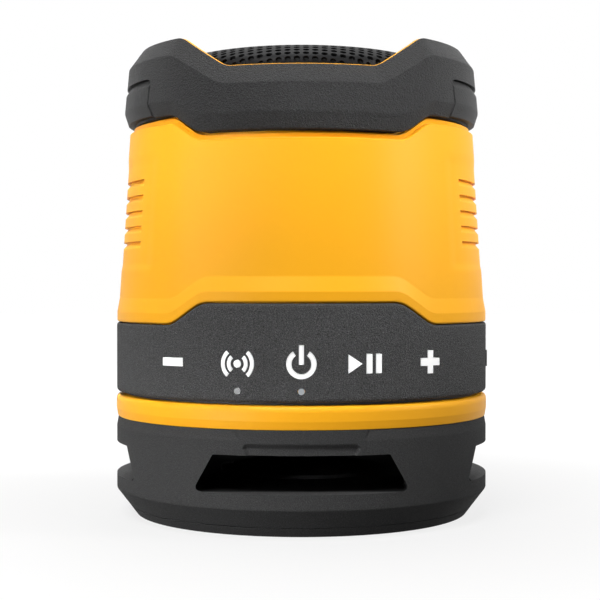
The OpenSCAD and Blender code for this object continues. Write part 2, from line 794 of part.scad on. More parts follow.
module key(index) {
    az = key_azimuths[index];
    color([0.92, 0.92, 0.9]) union() {
        intersection() {
            facing(az, plate_n + plate_t / 2, sign_z) linear_extrude(body_r) sign(index, 0);
            cylinder(r = band_r, h = rim_z, $fn = 120);
        }
        facing(az, plate_n, sign_z) linear_extrude(plate_t) square(key_plate, center = true);
        facing(az, switch_n - plunger_depth, sign_z)
            cylinder(d = plunger_d, h = plate_n - switch_n + plunger_depth + plate_t / 2, $fn = 32);
    }
}

module key_volume_down() { key(0); }
module key_pairing() { key(1); }
module key_power() { key(2); }
module key_play_pause() { key(3); }
module key_volume_up() { key(4); }

module control_band() {
    color([0.24, 0.24, 0.24]) difference() {
        ring_loft([for (az = azimuths) band_section(az)]);
        for (k = [0:4]) {
            facing(key_azimuths[k], band_inner_r - cut_back, sign_z)
                linear_extrude(body_r) sign(k, slide_gap);
            facing(key_azimuths[k], band_inner_r - cut_back, sign_z)
                linear_extrude(pocket_depth + cut_back)
                    square(key_plate + 2 * key_side_gap, center = true);
        }
        for (az = light_azimuths) facing(az, band_inner_r - cut_back, light_z)
            cylinder(d = light_d + 2 * slide_gap, h = body_r, $fn = 24);
        door_space();
    }
}

module light_pipe(az) {
    color([0.85, 0.87, 0.9]) intersection() {
        facing(az, led_n + fit_gap, light_z) cylinder(d = light_d, h = body_r, $fn = 24);
        cylinder(r = band_r, h = rim_z, $fn = 120);
    }
}

module light_pipe_pairing() { light_pipe(light_azimuths[0]); }
module light_pipe_power() { light_pipe(light_azimuths[1]); }

// Curved board behind the keys
key_board_inset = 6.2;
key_board_r = shell_inner_r - key_board_inset;
key_board_t = 1.3;
key_board_end_angle = 8;
key_board_half = sign_reach + key_board_end_angle;
key_board_margin = 8;
key_board_top = sign_z + key_board_margin;
switch_side = 6;
switch_h = 3.4;
switch_back_n = key_board_r + key_board_t + slide_gap;
switch_n = switch_back_n + switch_h;
plunger_depth = 1;
led_w = 2;
led_h = 1.6;
led_t = 1.2;
led_n = key_board_r + key_board_t + led_t;

module key_board() {
    color([0.05, 0.3, 0.16]) rotate([0, 0, -90 - key_board_half]) translate([0, 0, floor_top + seat_gap])
        rotate_extrude(angle = 2 * key_board_half, $fn = 120)
            translate([key_board_r, 0]) square([key_board_t, key_board_top - floor_top - seat_gap]);
}

module tact_switches() {
    color([0.12, 0.12, 0.12]) for (az = key_azimuths) difference() {
        facing(az, switch_back_n, sign_z) linear_extrude(switch_n - switch_back_n)
            square(switch_side, center = true);
        facing(az, switch_n - plunger_depth - key_travel - fit_gap, sign_z)
            cylinder(d = plunger_d + 2 * fit_gap, h = switch_h + over, $fn = 32);
    }
}

module indicator_leds() {
    color([0.95, 0.95, 0.8]) for (az = light_azimuths)
        facing(az, key_board_r + key_board_t + seat_gap, light_z)
            linear_extrude(led_t - seat_gap) square([led_w, led_h], center = true);
}

// Port on the right side, behind its door
port_rise = 10;
port_z = band_z + port_rise;
door_back_gap = 0.2;
door_t = band_t - door_back_gap;
door_mid_r = band_r - door_t / 2;
hinge_y = door_w - door_front;
hinge_az = asin(hinge_y / door_mid_r);
hinge_x = door_mid_r * cos(hinge_az);
barrel_d = door_t;
cup_wall = 1.5;
recess_w = 16.4;
recess_h = 10;
usb_socket_w = 9;
usb_socket_h = 3.2;
usb_socket_l = 7.3;
usb_socket_round = 1.2;
usb_socket_wall = 0.35;
usb_tongue_w = 6;
usb_tongue_t = 0.8;
usb_board_inset = 11.4;
usb_board_x = shell_inner_r - usb_board_inset;
usb_board_l = 7.2;
usb_board_w = 14;
usb_board_t = 1;
usb_ledge_inset = 1.2;
usb_socket_inset = 1.8;
usb_socket_x = usb_board_x + usb_socket_inset;
usb_mouth_gap = 0.2;
cup_back_t = 1.8;
recess_back_x = usb_socket_x + usb_socket_l + usb_mouth_gap;
usb_board_z = port_z - usb_socket_h / 2 - usb_board_t - seat_gap;
door_lip_w = 2.2;
door_lip_h = 4.7;
door_lip_proud = 0.35;
door_lip_inset = 0.3;
door_pin_l = 1.5;

module port_cup() {
    translate([recess_back_x - cup_back_t, -recess_w / 2 - cup_wall, port_z - recess_h / 2 - cup_wall])
        cube([shell_inner_r - recess_back_x + cup_back_t, recess_w + 2 * cup_wall, recess_h + 2 * cup_wall]);
}

module port_recess() {
    translate([recess_back_x, -recess_w / 2, port_z - recess_h / 2])
        cube([body_r, recess_w, recess_h]);
    translate([recess_back_x - cup_back_t - over, 0, port_z]) rotate([90, 0, 90])
        linear_extrude(cup_back_t + 2 * over)
            rounded(usb_socket_w + 2 * slide_gap, usb_socket_h + 2 * slide_gap, usb_socket_round);
}

module door_outline(gap) {
    front = -door_front - gap;
    high = door_h + 2 * gap;
    translate([(front + hinge_y) / 2, port_z]) square([hinge_y - front, high], center = true);
}

module door_space() {
    rotate([90, 0, 90]) linear_extrude(2 * body_r) door_outline(fit_gap);
    translate([hinge_x, hinge_y, port_z - door_h / 2 - fit_gap])
        cylinder(d = barrel_d + 2 * swing_gap, h = door_h + 2 * fit_gap, $fn = 32);
    pin_reach = door_h / 2 + door_pin_l + free_gap;
    translate([hinge_x, hinge_y, port_z - pin_reach])
        cylinder(d = door_pin_d + 2 * slide_gap, h = 2 * pin_reach, $fn = 24);
}

module port_door() {
    color([0.24, 0.24, 0.24]) union() {
        intersection() {
            tube(band_r, band_r - door_t, port_z - door_h, port_z + door_h);
            rotate([90, 0, 90]) linear_extrude(2 * body_r) door_outline(0);
        }
        translate([hinge_x, hinge_y, port_z - door_h / 2]) cylinder(d = barrel_d, h = door_h, $fn = 32);
        translate([hinge_x, hinge_y, port_z - door_h / 2 - door_pin_l])
            cylinder(d = door_pin_d, h = door_h + 2 * door_pin_l, $fn = 24);
        intersection() {
            tube(band_r + door_lip_proud, band_r - door_t / 2, port_z - door_h, port_z + door_h);
            translate([0, -door_front + door_lip_inset, port_z - door_lip_h / 2])
                cube([2 * body_r, door_lip_w, door_lip_h]);
        }
    }
}

module usb_socket() {
    mouth_w = usb_socket_w - 2 * usb_socket_wall;
    mouth_h = usb_socket_h - 2 * usb_socket_wall;
    color("silver") translate([usb_socket_x, 0, port_z]) rotate([90, 0, 90]) difference() {
        linear_extrude(usb_socket_l) rounded(usb_socket_w, usb_socket_h, usb_socket_round);
        translate([0, 0, over]) linear_extrude(usb_socket_l) difference() {
            rounded(mouth_w, mouth_h, usb_socket_round - usb_socket_wall);
            square([usb_tongue_w, usb_tongue_t], center = true);
        }
    }
}

module usb_board() {
    color([0.05, 0.3, 0.16]) translate([usb_board_x, -usb_board_w / 2, usb_board_z])
        cube([usb_board_l, usb_board_w, usb_board_t]);
}

// Driver at the top, facing up
surround_room = 5.1;
baffle_hole_r = cone_r + surround_room;
gasket_t = 0.7;
flange_t = 2.2;
flange_z = baffle_top + seat_gap + gasket_t + seat_gap;
flange_top = flange_z + flange_t;
driver_screw_inset = 2.9;
driver_screw_r = flange_r - driver_screw_inset;
driver_screw_d = 2.6;
driver_screw_l = 6;
basket_t = 1.2;
basket_h = 18;
basket_foot_z = flange_z - basket_h;
basket_foot_r = 15.5;
basket_foot_t = 2;
basket_window_w = 16;
basket_window_h = 8;
basket_window_rise = 6;
top_plate_t = 3.4;
top_plate_z = basket_foot_z - seat_gap - top_plate_t;
magnet_z = top_plate_z - seat_gap - magnet_h;
magnet_proud = 1;
magnet_hole_r = 11;
yoke_t = 3.4;
pole_r = 7;
coil_gap = 0.35;
coil_inner_r = pole_r + coil_gap;
coil_t = 0.5;
coil_overhang = 1;
gap_r = coil_inner_r + coil_t + coil_gap;
cone_foot_rise = 5;
cone_foot_z = basket_foot_z + cone_foot_rise;
cone_rim_drop = 0.6;
cone_rim_z = flange_top - cone_rim_drop;
cone_t = 0.8;
cone_crown = 0.9;
cone_foot_r = coil_inner_r + coil_t + seat_gap;
cone_mid = [(cone_r + cone_foot_r) / 2, (cone_foot_z + cone_rim_z) / 2 + cone_crown];
// Height of the cone's upper face, inside its middle ring
function cone_face_z(r) = cone_foot_z + cone_t
    + (r - cone_foot_r) * (cone_mid[1] - cone_foot_z - cone_t) / (cone_mid[0] - cone_foot_r);

module driver_baffle() {
    color([0.12, 0.12, 0.12]) difference() {
        translate([0, 0, baffle_z]) cylinder(r = neck_inner_r - fit_gap, h = baffle_t, $fn = 120);
        translate([0, 0, baffle_z - over]) cylinder(r = baffle_hole_r, h = baffle_t + 2 * over);
        four(45) translate([0, -driver_screw_r, baffle_z - over])
            cylinder(d = driver_screw_d + 2 * seat_gap, h = baffle_t + 2 * over, $fn = 24);
    }
}

module driver_gasket() {
    color([0.1, 0.1, 0.1]) difference() {
        tube(flange_r, baffle_hole_r, baffle_top + seat_gap, baffle_top + seat_gap + gasket_t);
        four(45) translate([0, -driver_screw_r, baffle_top - over])
            cylinder(d = driver_screw_d + 2 * fit_gap, h = gasket_t + 2 * over, $fn = 24);
    }
}

module driver_basket() {
    wall_r = baffle_hole_r - free_gap;
    foot_out_r = basket_foot_r + basket_t;
    color([0.3, 0.3, 0.32]) difference() {
        rotate_extrude() polygon([[wall_r - basket_t, flange_top], [wall_r - basket_t, flange_z - basket_t],
            [basket_foot_r, basket_foot_z + basket_foot_t], [gap_r, basket_foot_z + basket_foot_t],
            [gap_r, basket_foot_z], [foot_out_r, basket_foot_z], [wall_r, flange_z - basket_t],
            [wall_r, flange_z], [flange_r, flange_z], [flange_r, flange_top]]);
        four(0) translate([-basket_window_w / 2, -wall_r - over, basket_foot_z + basket_window_rise])
            cube([basket_window_w, wall_r - basket_window_w / 2, basket_window_h]);
        four(45) translate([0, -driver_screw_r, flange_z - over])
            cylinder(d = driver_screw_d + 2 * fit_gap, h = flange_t + 2 * over, $fn = 24);
    }
}

module driver_screws() {
    head_top = flange_top + seat_gap + head_h(driver_screw_d);
    color("silver") four(45) translate([0, -driver_screw_r, head_top])
        rotate([180, 0, 0]) screw(driver_screw_d, driver_screw_l);
}

module driver_top_plate() {
    color("silver") tube(magnet_r, gap_r, top_plate_z, top_plate_z + top_plate_t);
}

module driver_magnet() {
    color([0.25, 0.25, 0.27]) tube(magnet_r + magnet_proud, magnet_hole_r, magnet_z, magnet_z + magnet_h);
}

module driver_yoke() {
    color("silver") union() {
        translate([0, 0, magnet_z - seat_gap - yoke_t]) cylinder(r = magnet_r, h = yoke_t);
        translate([0, 0, magnet_z - seat_gap - over]) cylinder(r = pole_r,
            h = basket_foot_z - magnet_z + seat_gap + over);
    }
}

module driver_cone() {
    color([0.1, 0.1, 0.1]) rotate_extrude() polygon([[cone_foot_r, cone_foot_z],
        [cone_foot_r + cone_t, cone_foot_z], cone_mid + [cone_t, -cone_t / 2],
        [cone_r, cone_rim_z - cone_t], [cone_r, cone_rim_z], [cone_r - cone_t, cone_rim_z],
        cone_mid, [cone_foot_r, cone_foot_z + cone_t]]);
}

cap_r = 9;
cap_h = 3;
cap_t = 0.6;

module driver_dust_cap() {
    ball_r = (cap_r * cap_r + cap_h * cap_h) / (2 * cap_h);
    cap_z = cone_face_z(cap_r) + slide_gap;
    color([0.12, 0.12, 0.12]) translate([0, 0, cap_z + cap_h - ball_r]) intersection() {
        difference() {
            sphere(ball_r);
            sphere(ball_r - cap_t);
        }
        translate([0, 0, ball_r - cap_h]) cylinder(r = 2 * cap_r, h = cap_h);
    }
}

module voice_coil() {
    color([0.72, 0.45, 0.2]) tube(coil_inner_r + coil_t, coil_inner_r,
        top_plate_z - coil_overhang - cone_travel, cone_foot_z + coil_overhang);
}

surround_t = 0.5;
surround_roll = cone_travel + surround_t;
surround_lip = 1.2;
surround_gap = 0.4;
surround_axis_r = cone_r + surround_roll + surround_gap;

module driver_surround() {
    lip_z = flange_top + seat_gap;
    color([0.07, 0.07, 0.07]) rotate_extrude() union() {
        intersection() {
            translate([surround_axis_r, lip_z]) difference() {
                circle(surround_roll, $fn = 32);
                circle(surround_roll - surround_t, $fn = 32);
            }
            translate([0, lip_z]) square([flange_r, 2 * surround_roll]);
        }
        translate([surround_axis_r + surround_roll - surround_t, lip_z])
            square([driver_screw_r - driver_screw_d - surround_axis_r - surround_roll, surround_t]);
        translate([cone_r - surround_lip, cone_rim_z + seat_gap])
            square([surround_gap + surround_t + surround_lip, lip_z - cone_rim_z - seat_gap + surround_t]);
    }
}

spider_rise = 3;
spider_wave = 0.5;
spider_t = 0.4;

module driver_spider() {
    outer = basket_foot_r + fit_gap;
    inner = cone_foot_r;
    waves = 3;
    steps = 24;
    under = [for (k = [0:steps]) [inner + (outer - inner) * k / steps,
        basket_foot_z + spider_rise + spider_wave * sin(360 * waves * k / steps)]];
    color([0.75, 0.6, 0.3]) rotate_extrude()
        polygon(concat(under, [for (k = [steps:-1:0]) under[k] + [0, spider_t]]));
}

// Passive radiator under the floor of the lower chassis, facing down
radiator_t = 2.4;
radiator_z = foot_h - radiator_t;
radiator_screw_inset = 2.6;
radiator_screw_r = radiator_r - radiator_screw_inset;
radiator_screw_d = 2;
plate_lift = 0.2;
plate_z = radiator_z + plate_lift;
plate_height = 1.8;
plate_rim = 6;
plate_dish = 0.6;
weight_r = 11;
weight_h = 3;
roll_rise = 1;
roll_t = 0.6;

module radiator_frame() {
    color([0.12, 0.12, 0.12]) difference() {
        tube(radiator_r, radiator_inner_r, radiator_z, foot_h);
        four(0) translate([0, -radiator_screw_r, radiator_z - over])
            cylinder(d = radiator_screw_d + 2 * fit_gap, h = radiator_t + 2 * over, $fn = 24);
    }
}

module radiator_screws() {
    head_z = radiator_z - seat_gap - head_h(radiator_screw_d);
    color("silver") four(0) translate([0, -radiator_screw_r, head_z])
        screw(radiator_screw_d, radiator_t + floor_t);
}

module radiator_surround() {
    mid = (radiator_plate_r + radiator_inner_r) / 2;
    roll = (radiator_inner_r - radiator_plate_r) / 2 - seat_gap;
    base = radiator_z + roll_rise;
    color([0.07, 0.07, 0.07]) rotate_extrude() intersection() {
        translate([mid, base]) difference() {
            circle(roll, $fn = 32);
            circle(roll - roll_t, $fn = 32);
        }
        translate([0, base - 2 * roll]) square([radiator_r, 2 * roll]);
    }
}

module radiator_plate() {
    color([0.2, 0.2, 0.2]) difference() {
        translate([0, 0, plate_z]) cylinder(r = radiator_plate_r, h = plate_height, $fn = 96);
        translate([0, 0, plate_z - over])
            cylinder(r = radiator_plate_r - plate_rim, h = over + plate_dish, $fn = 96);
    }
}

module radiator_weight() {
    color("silver") translate([0, 0, plate_z + plate_height + seat_gap]) cylinder(r = weight_r, h = weight_h);
}

// Battery, standing behind the main board
cell_gap = 2;
cell_inset = 6;
cell_cap_h = 1.5;
cell_x = (cell_d + cell_gap) / 2;
cell_y = shell_inner_r - cell_d / 2 - cell_inset;
holder_t = 2.4;
holder_lip = 4;
holder_z = floor_top + seat_gap;
cell_z = holder_z + holder_t + seat_gap;
cell_top = cell_z + cell_l;
holder_w = 2 * (cell_d + cell_gap);
spine_t = 1.4;
spine_y = cell_y - cell_d / 2 - seat_gap - spine_t;
holder_pin_d = 4;
standoff_l = 1.8;
standoff_d = 4.4;
board_t = 1.6;
board_y = spine_y - standoff_l - seat_gap - board_t;
board_w = 56;
board_rise = 6;
board_head_room = 3;
board_z = floor_top + board_rise;
board_h = magnet_z - yoke_t - board_z - board_head_room;
board_screw_d = 2;
board_screw_inset = 4;
board_screw_x = holder_w / 2 - board_screw_inset;
board_screw_z = [board_z + board_screw_inset, board_z + board_h - board_screw_inset];

module battery_cells() {
    color([0.2, 0.45, 0.7]) for (side = [-1, 1]) translate([side * cell_x, cell_y, cell_z]) union() {
        cylinder(d = cell_d, h = cell_l - cell_cap_h);
        cylinder(d = cell_d / 3, h = cell_l, $fn = 32);
    }
}

module at_board_screws(y) {
    for (side = [-1, 1]) for (z = board_screw_z) translate([side * board_screw_x, y, z]) children();
}

module battery_holder() {
    color([0.14, 0.14, 0.14]) difference() {
        union() {
            for (z = [holder_z, cell_top + seat_gap]) translate([-holder_w / 2, spine_y, z])
                cube([holder_w, cell_d / 2 + spine_t + holder_lip, holder_t]);
            translate([-holder_w / 2, spine_y, holder_z])
                cube([holder_w, spine_t, cell_top + seat_gap + holder_t - holder_z]);
            for (side = [-1, 1]) translate([side * cell_x, cell_y, foot_h + seat_gap])
                cylinder(d = holder_pin_d, h = floor_t + over, $fn = 24);
            at_board_screws(spine_y + spine_t / 2)
                rotate([90, 0, 0]) cylinder(d = standoff_d, h = standoff_l + spine_t / 2, $fn = 24);
        }
        at_board_screws(spine_y + spine_t + over) rotate([90, 0, 0])
            cylinder(d = board_screw_d + 2 * seat_gap, h = spine_t + standoff_l + 2 * over, $fn = 24);
    }
}

module main_board() {
    color([0.05, 0.3, 0.16]) difference() {
        translate([-board_w / 2, board_y, board_z]) cube([board_w, board_t, board_h]);
        at_board_screws(board_y - over) rotate([-90, 0, 0])
            cylinder(d = board_screw_d + 2 * fit_gap, h = board_t + 2 * over, $fn = 24);
    }
}

module board_screws() {
    color("silver") at_board_screws(board_y - seat_gap - head_h(board_screw_d))
        rotate([-90, 0, 0]) screw(board_screw_d, board_t + standoff_l + spine_t);
}

// Components stand on the front of the main board
module on_board(x, z) {
    translate([x, board_y - seat_gap, board_z + z]) rotate([90, 0, 0]) children();
}

// Least distance of a component's edge from the board's lower and upper edges, clear of the screws
part_margin = board_screw_inset + head_d(board_screw_d) / 2 + free_gap;
radio_w = 18;
radio_h = 12;
radio_t = 2.2;
radio_x = -5;
radio_round = 0.6;
amplifier_w = 9;
amplifier_t = 1.2;
amplifier_x = 10;
coil_w = 8;
coil_h = 4;
coil_pitch = 12;
coil_round = 1;
coil_rise = part_margin + coil_w / 2;
capacitor_d = 8;
capacitor_h = 11;
capacitor_pitch = 12;
capacitor_x = -12;
capacitor_rise = part_margin + capacitor_d / 2;
amplifier_rise = coil_rise + coil_w / 2 + free_gap + amplifier_w / 2;

module radio_module() {
    color("silver") on_board(radio_x, board_h - part_margin - radio_h / 2)
        linear_extrude(radio_t) rounded(radio_w, radio_h, radio_round);
}

module amplifier_chip() {
    color([0.08, 0.08, 0.08]) on_board(amplifier_x, amplifier_rise)
        linear_extrude(amplifier_t) square(amplifier_w, center = true);
}

module filter_coils() {
    color([0.3, 0.3, 0.32]) for (side = [-1, 1]) on_board(amplifier_x + side * coil_pitch / 2, coil_rise)
        linear_extrude(coil_h) rounded(coil_w, coil_w, coil_round);
}

module capacitors() {
    color([0.25, 0.25, 0.4]) for (side = [-1, 1])
        on_board(capacitor_x + side * capacitor_pitch / 2, capacitor_rise)
            cylinder(d = capacitor_d, h = capacitor_h, $fn = 40);
}

main_shell();
top_bumper();
bumper_pad_left();
bumper_pad_right();
grille();
grille_ring();
dust_cloth();
control_band();
key_volume_down();
key_pairing();
key_power();
key_play_pause();
key_volume_up();
light_pipe_pairing();
light_pipe_power();
key_board();
tact_switches();
indicator_leds();
port_door();
usb_socket();
usb_board();
lower_chassis();
shell_seal();
base_foot();
foot_ring();
sound_deflector();
base_screws();
chassis_screws();
driver_baffle();
driver_gasket();
driver_basket();
driver_screws();
driver_yoke();
driver_magnet();
driver_top_plate();
driver_cone();
driver_dust_cap();
voice_coil();
driver_surround();
driver_spider();
radiator_frame();
radiator_surround();
radiator_plate();
radiator_weight();
radiator_screws();
battery_cells();
battery_holder();
main_board();
radio_module();
amplifier_chip();
filter_coils();
capacitors();
board_screws();
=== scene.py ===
import json
import math
from contextlib import contextmanager

import bmesh
import bpy
import numpy as np
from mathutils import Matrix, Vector


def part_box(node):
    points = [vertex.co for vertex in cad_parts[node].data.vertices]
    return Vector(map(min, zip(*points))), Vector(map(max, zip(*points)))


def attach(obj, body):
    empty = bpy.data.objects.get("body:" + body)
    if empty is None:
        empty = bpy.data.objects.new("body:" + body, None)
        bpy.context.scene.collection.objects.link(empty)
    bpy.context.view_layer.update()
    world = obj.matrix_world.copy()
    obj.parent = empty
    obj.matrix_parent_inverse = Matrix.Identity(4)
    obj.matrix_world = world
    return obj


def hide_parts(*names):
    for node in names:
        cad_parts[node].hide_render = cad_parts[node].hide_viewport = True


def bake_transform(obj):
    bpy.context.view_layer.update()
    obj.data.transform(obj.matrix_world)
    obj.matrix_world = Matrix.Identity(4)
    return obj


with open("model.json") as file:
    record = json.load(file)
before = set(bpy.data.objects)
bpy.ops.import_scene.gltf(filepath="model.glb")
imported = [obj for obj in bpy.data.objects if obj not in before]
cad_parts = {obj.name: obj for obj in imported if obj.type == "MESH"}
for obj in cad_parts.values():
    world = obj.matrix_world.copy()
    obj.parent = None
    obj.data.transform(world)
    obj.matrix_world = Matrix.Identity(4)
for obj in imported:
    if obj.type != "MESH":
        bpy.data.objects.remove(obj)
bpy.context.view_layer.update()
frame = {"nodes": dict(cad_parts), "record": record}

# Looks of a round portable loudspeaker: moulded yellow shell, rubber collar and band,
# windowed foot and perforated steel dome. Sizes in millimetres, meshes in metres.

MM = 0.001
TOUCHING = 1e-7

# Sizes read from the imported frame


def lowest(node):
    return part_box(node)[0] / MM


def highest(node):
    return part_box(node)[1] / MM


foot_top_z = highest("base_foot").z
foot_r = highest("base_foot").x
foot_seam_z = lowest("base_foot").z
foot_ring_top_z = highest("foot_ring").z
body_r = highest("lower_chassis").x
ring_low_z = lowest("lower_chassis").z
band_low_z = lowest("control_band").z
band_front_z = highest("control_band").z
band_r = highest("control_band").x
seal_low_z = lowest("shell_seal").z
shell_low_z = lowest("main_shell").z
collar_front_z = lowest("top_bumper").z
collar_r = highest("top_bumper").x
rim_side_z = highest("top_bumper").z
grille_low_z = lowest("grille").z
grille_r = highest("grille").x
port_z = (lowest("port_door").z + highest("port_door").z) / 2
pad_low_z = lowest("bumper_pad_right").z
pad_top_z = highest("bumper_pad_right").z
pad_half_w = highest("bumper_pad_right").y

# Clearances

line_gap = 0.25
seat_gap = 0.05
slide_gap = 0.15
fit_gap = 0.3
recess_gap = 0.2
# Under the band, under the collar, and between the collar's line and the strip below it
band_lift = 0.5
collar_gap = 0.45
strip_gap = 0.25
# How far a cutter reaches past what it cuts
cut_over = 2

# Driving sizes of the shapes

band_rise = 6.0
band_t = 2.7
low_dip = 4.5
# How much higher than its ridge the collar's lower edge stands on the sides
edge_lift = 0.8
rim_dip = 9.2
# Strip under the collar: its height and set-back, the height of its foot, and the set-backs half
# way up that foot and at the strip's top
strip_h = 1.6
strip_inset = 1.4
strip_foot_h = 0.4
strip_foot_inset = 0.6
strip_top_inset = 1.0
flare_inset = 0.2
flare_edge_h = 2.9
flare_bevel_h = 4.0
barrel_step = 0.45
barrel_taper = 3.65
shell_wall = 1.5
neck_step = 3.7
neck_t = 1.5
neck_lip = 0.2
# Share of the neck's wall, from outside, where its rim follows the collar's rim
neck_crest = 0.45
ledge_drop = 14.3
ledge_w = 3.2
ledge_t = 3
low_bevel_h = 5.2
rim_bevel_h = 5.2
collar_lean = 1.1

# Angles from the front or back between which a contour slopes

band_slope = (29.4, 40.2)
edge_slope = (33.2, 43.2)
ridge_slope = (32.5, 42.5)
rim_slope = (25.5, 43.8)
neck_slope = (44, 50)
corner_blend = 2.5

# Sizes that follow

ring_top_z = seal_low_z - seat_gap
band_side_z = band_front_z - band_rise
collar_side_z = collar_front_z + low_dip
rim_front_z = rim_side_z - rim_dip
barrel_h = collar_side_z - band_side_z
band_inner_r = band_r - band_t
recess_r = band_inner_r - recess_gap
flare_r = body_r - flare_inset
barrel_top_r = body_r - barrel_step - barrel_taper
shell_inner_r = barrel_top_r - shell_wall
neck_r = barrel_top_r - neck_step
neck_inner_r = neck_r - neck_t
neck_crest_r = neck_r - neck_crest * neck_t

# Contours round the body: level at the front, back and sides, with slopes between


def ramp_area(t, a, b):
    """Area up to t under a ramp that goes from 0 at a to 1 at b."""
    inside = (t - a) ** 2 / (2 * (b - a))
    return np.where(t <= a, 0, np.where(t >= b, (b - a) / 2 + t - b, inside))


def soft_ramp(t, span, blend=corner_blend):
    """0 before the span and 1 after it, with its two corners rounded over the blend."""
    return (ramp_area(t + blend, *span) - ramp_area(t - blend, *span)) / (2 * blend)


def folded(az):
    """Angle from the nearer of front and back."""
    return np.degrees(np.arcsin(np.abs(np.sin(np.radians(az)))))


def band_line(az):
    return band_side_z + band_rise * (1 - soft_ramp(folded(az), band_slope))


def low_line(az):
    """The collar's lower edge, which rises more to the sides than its ridge."""
    return collar_front_z + (low_dip + edge_lift) * soft_ramp(folded(az), edge_slope)


def ridge_line(az):
    return collar_front_z + low_bevel_h + low_dip * soft_ramp(folded(az), ridge_slope)


def rim_line(az):
    return rim_side_z - rim_dip * (1 - soft_ramp(folded(az), rim_slope))


def neck_line(az):
    """The neck stands over the collar's rim at the front and back, and under it at the sides."""
    return rim_line(az) + neck_lip * (1 - 2 * soft_ramp(folded(az), neck_slope))


def barrel_r(z):
    return barrel_top_r + (collar_side_z - z) * barrel_taper / barrel_h


def smooth_step(x, width):
    """0 below -width / 2 and 1 above width / 2."""
    t = np.clip(x / width + 0.5, 0, 1)
    return t * t * (3 - 2 * t)


def mirrored_azimuths():
    """Azimuths of a ring's sections, closer where contours slope and grips end."""
    spans = ((0, 22, 2), (22, 50, 0.5), (50, 57, 0.8), (57, 62, 0.25), (62, 90, 2))
    quarter = np.concatenate([np.arange(*span) for span in spans])
    half = np.concatenate([quarter, [90], 180 - quarter[:0:-1]])
    return np.concatenate([half, half + 180])


contour_azimuths = mirrored_azimuths()
even_azimuths = np.arange(0, 360, 1.25)

# Meshes


def in_scene(name, data):
    """A new object of a mesh, lamp or camera, in the scene."""
    obj = bpy.data.objects.new(name, data)
    bpy.context.scene.collection.objects.link(obj)
    return obj


def add_object(name, points, faces):
    """An object of points in millimetres."""
    mesh = bpy.data.meshes.new(name)
    mesh.from_pydata((np.asarray(points, float) * MM).tolist(), [], faces)
    return in_scene(name, mesh)


@contextmanager
def editing(obj):
    """An object's mesh, open to bmesh tools and written back at the end."""
    bm = bmesh.new()
    bm.from_mesh(obj.data)
    yield bm
    bm.to_mesh(obj.data)
    bm.free()


def point_outwards(obj):
    """Merges doubles and turns the faces of a closed mesh outwards."""
    with editing(obj) as bm:
        bmesh.ops.remove_doubles(bm, verts=bm.verts, dist=TOUCHING)
        bmesh.ops.recalc_face_normals(bm, faces=bm.faces)
    return obj


def apply_modifiers(obj):
    graph = bpy.context.evaluated_depsgraph_get()
    mesh = bpy.data.meshes.new_from_object(obj.evaluated_get(graph))
    obj.modifiers.clear()
    old = obj.data
    obj.data = mesh
    bpy.data.meshes.remove(old)
    return obj


def boolean(obj, other, operation="DIFFERENCE"):
    """Cuts obj by the other object, or joins them, and removes the other."""
    mod = obj.modifiers.new("boolean", "BOOLEAN")
    mod.operation = operation
    mod.solver = "EXACT"
    mod.object = other
    apply_modifiers(obj)
    bpy.data.objects.remove(other)
    return obj


def round_edges(obj, width, segments=3, angle=40):
    """Rounds the sharp edges of a closed mesh."""
    mod = obj.modifiers.new("edges", "BEVEL")
    mod.width = width * MM
    mod.segments = segments
    mod.limit_method = "ANGLE"
    mod.angle_limit = math.radians(angle)
    mod.use_clamp_overlap = True
    return apply_modifiers(obj)


def shade(obj, angle=38):
    """Smooth shading, with edges sharper than the angle kept and flat faces kept flat."""
    obj.data.shade_smooth()
    obj.data.set_sharp_from_angle(angle=math.radians(angle))
    mod = obj.modifiers.new("normals", "WEIGHTED_NORMAL")
    mod.keep_sharp = True
    mod.weight = 60
    return apply_modifiers(obj)


def filleted(corners, azimuths, steps=5):
    """Sections of (radius, height, fillet) corners for all azimuths, with round corners.

    Radii and heights may change with the azimuth. Returns the points and where each corner starts.
    """
    side_share = 0.42
    support = 1.15
    flattest = 0.999
    count = len(azimuths)
    spread = [np.stack([np.broadcast_to(r, count), np.broadcast_to(z, count)], 1) for r, z, _ in corners]
    rows = []
    starts = []
    for k, (_, _, fillet) in enumerate(corners):
        here = spread[k]
        starts.append(len(rows))
        if fillet == 0:
            rows.append(here)
            continue
        ways = [spread[k - 1] - here, spread[(k + 1) % len(corners)] - here]
        lengths = [np.linalg.norm(w, axis=1, keepdims=True) for w in ways]
        ways = [w / n for w, n in zip(ways, lengths)]
        half = np.arccos(np.clip((ways[0] * ways[1]).sum(1, keepdims=True), -flattest, flattest)) / 2
        reach = np.minimum(fillet / np.tan(half), side_share * np.minimum(*lengths))
        rows.append(here + ways[0] * reach * support)
        for s in np.linspace(0, 1, steps):
            rows.append(here + ways[0] * reach * (1 - s) ** 2 + ways[1] * reach * s ** 2)
        rows.append(here + ways[1] * reach * support)
    return np.stack(rows, 1), starts


def ring(name, sections, azimuths):
    """A closed ring through one closed section of (radius, height) for each azimuth."""
    count, cols = sections.shape[:2]
    a = np.radians(azimuths)[:, None]
    points = np.stack([sections[:, :, 0] * np.sin(a), -sections[:, :, 0] * np.cos(a), sections[:, :, 1]], 2)
    faces = []
    for i in range(count):
        n = (i + 1) % count
        for j in range(cols):
            k = (j + 1) % cols
            faces.append((i * cols + j, n * cols + j, n * cols + k, i * cols + k))
    return point_outwards(add_object(name, points.reshape(-1, 3), faces))


def turned(name, corners, azimuths=even_azimuths, steps=5):
    """A ring of (radius, height, fillet) corners."""
    sections, _ = filleted(corners, azimuths, steps)
    return ring(name, sections, azimuths)


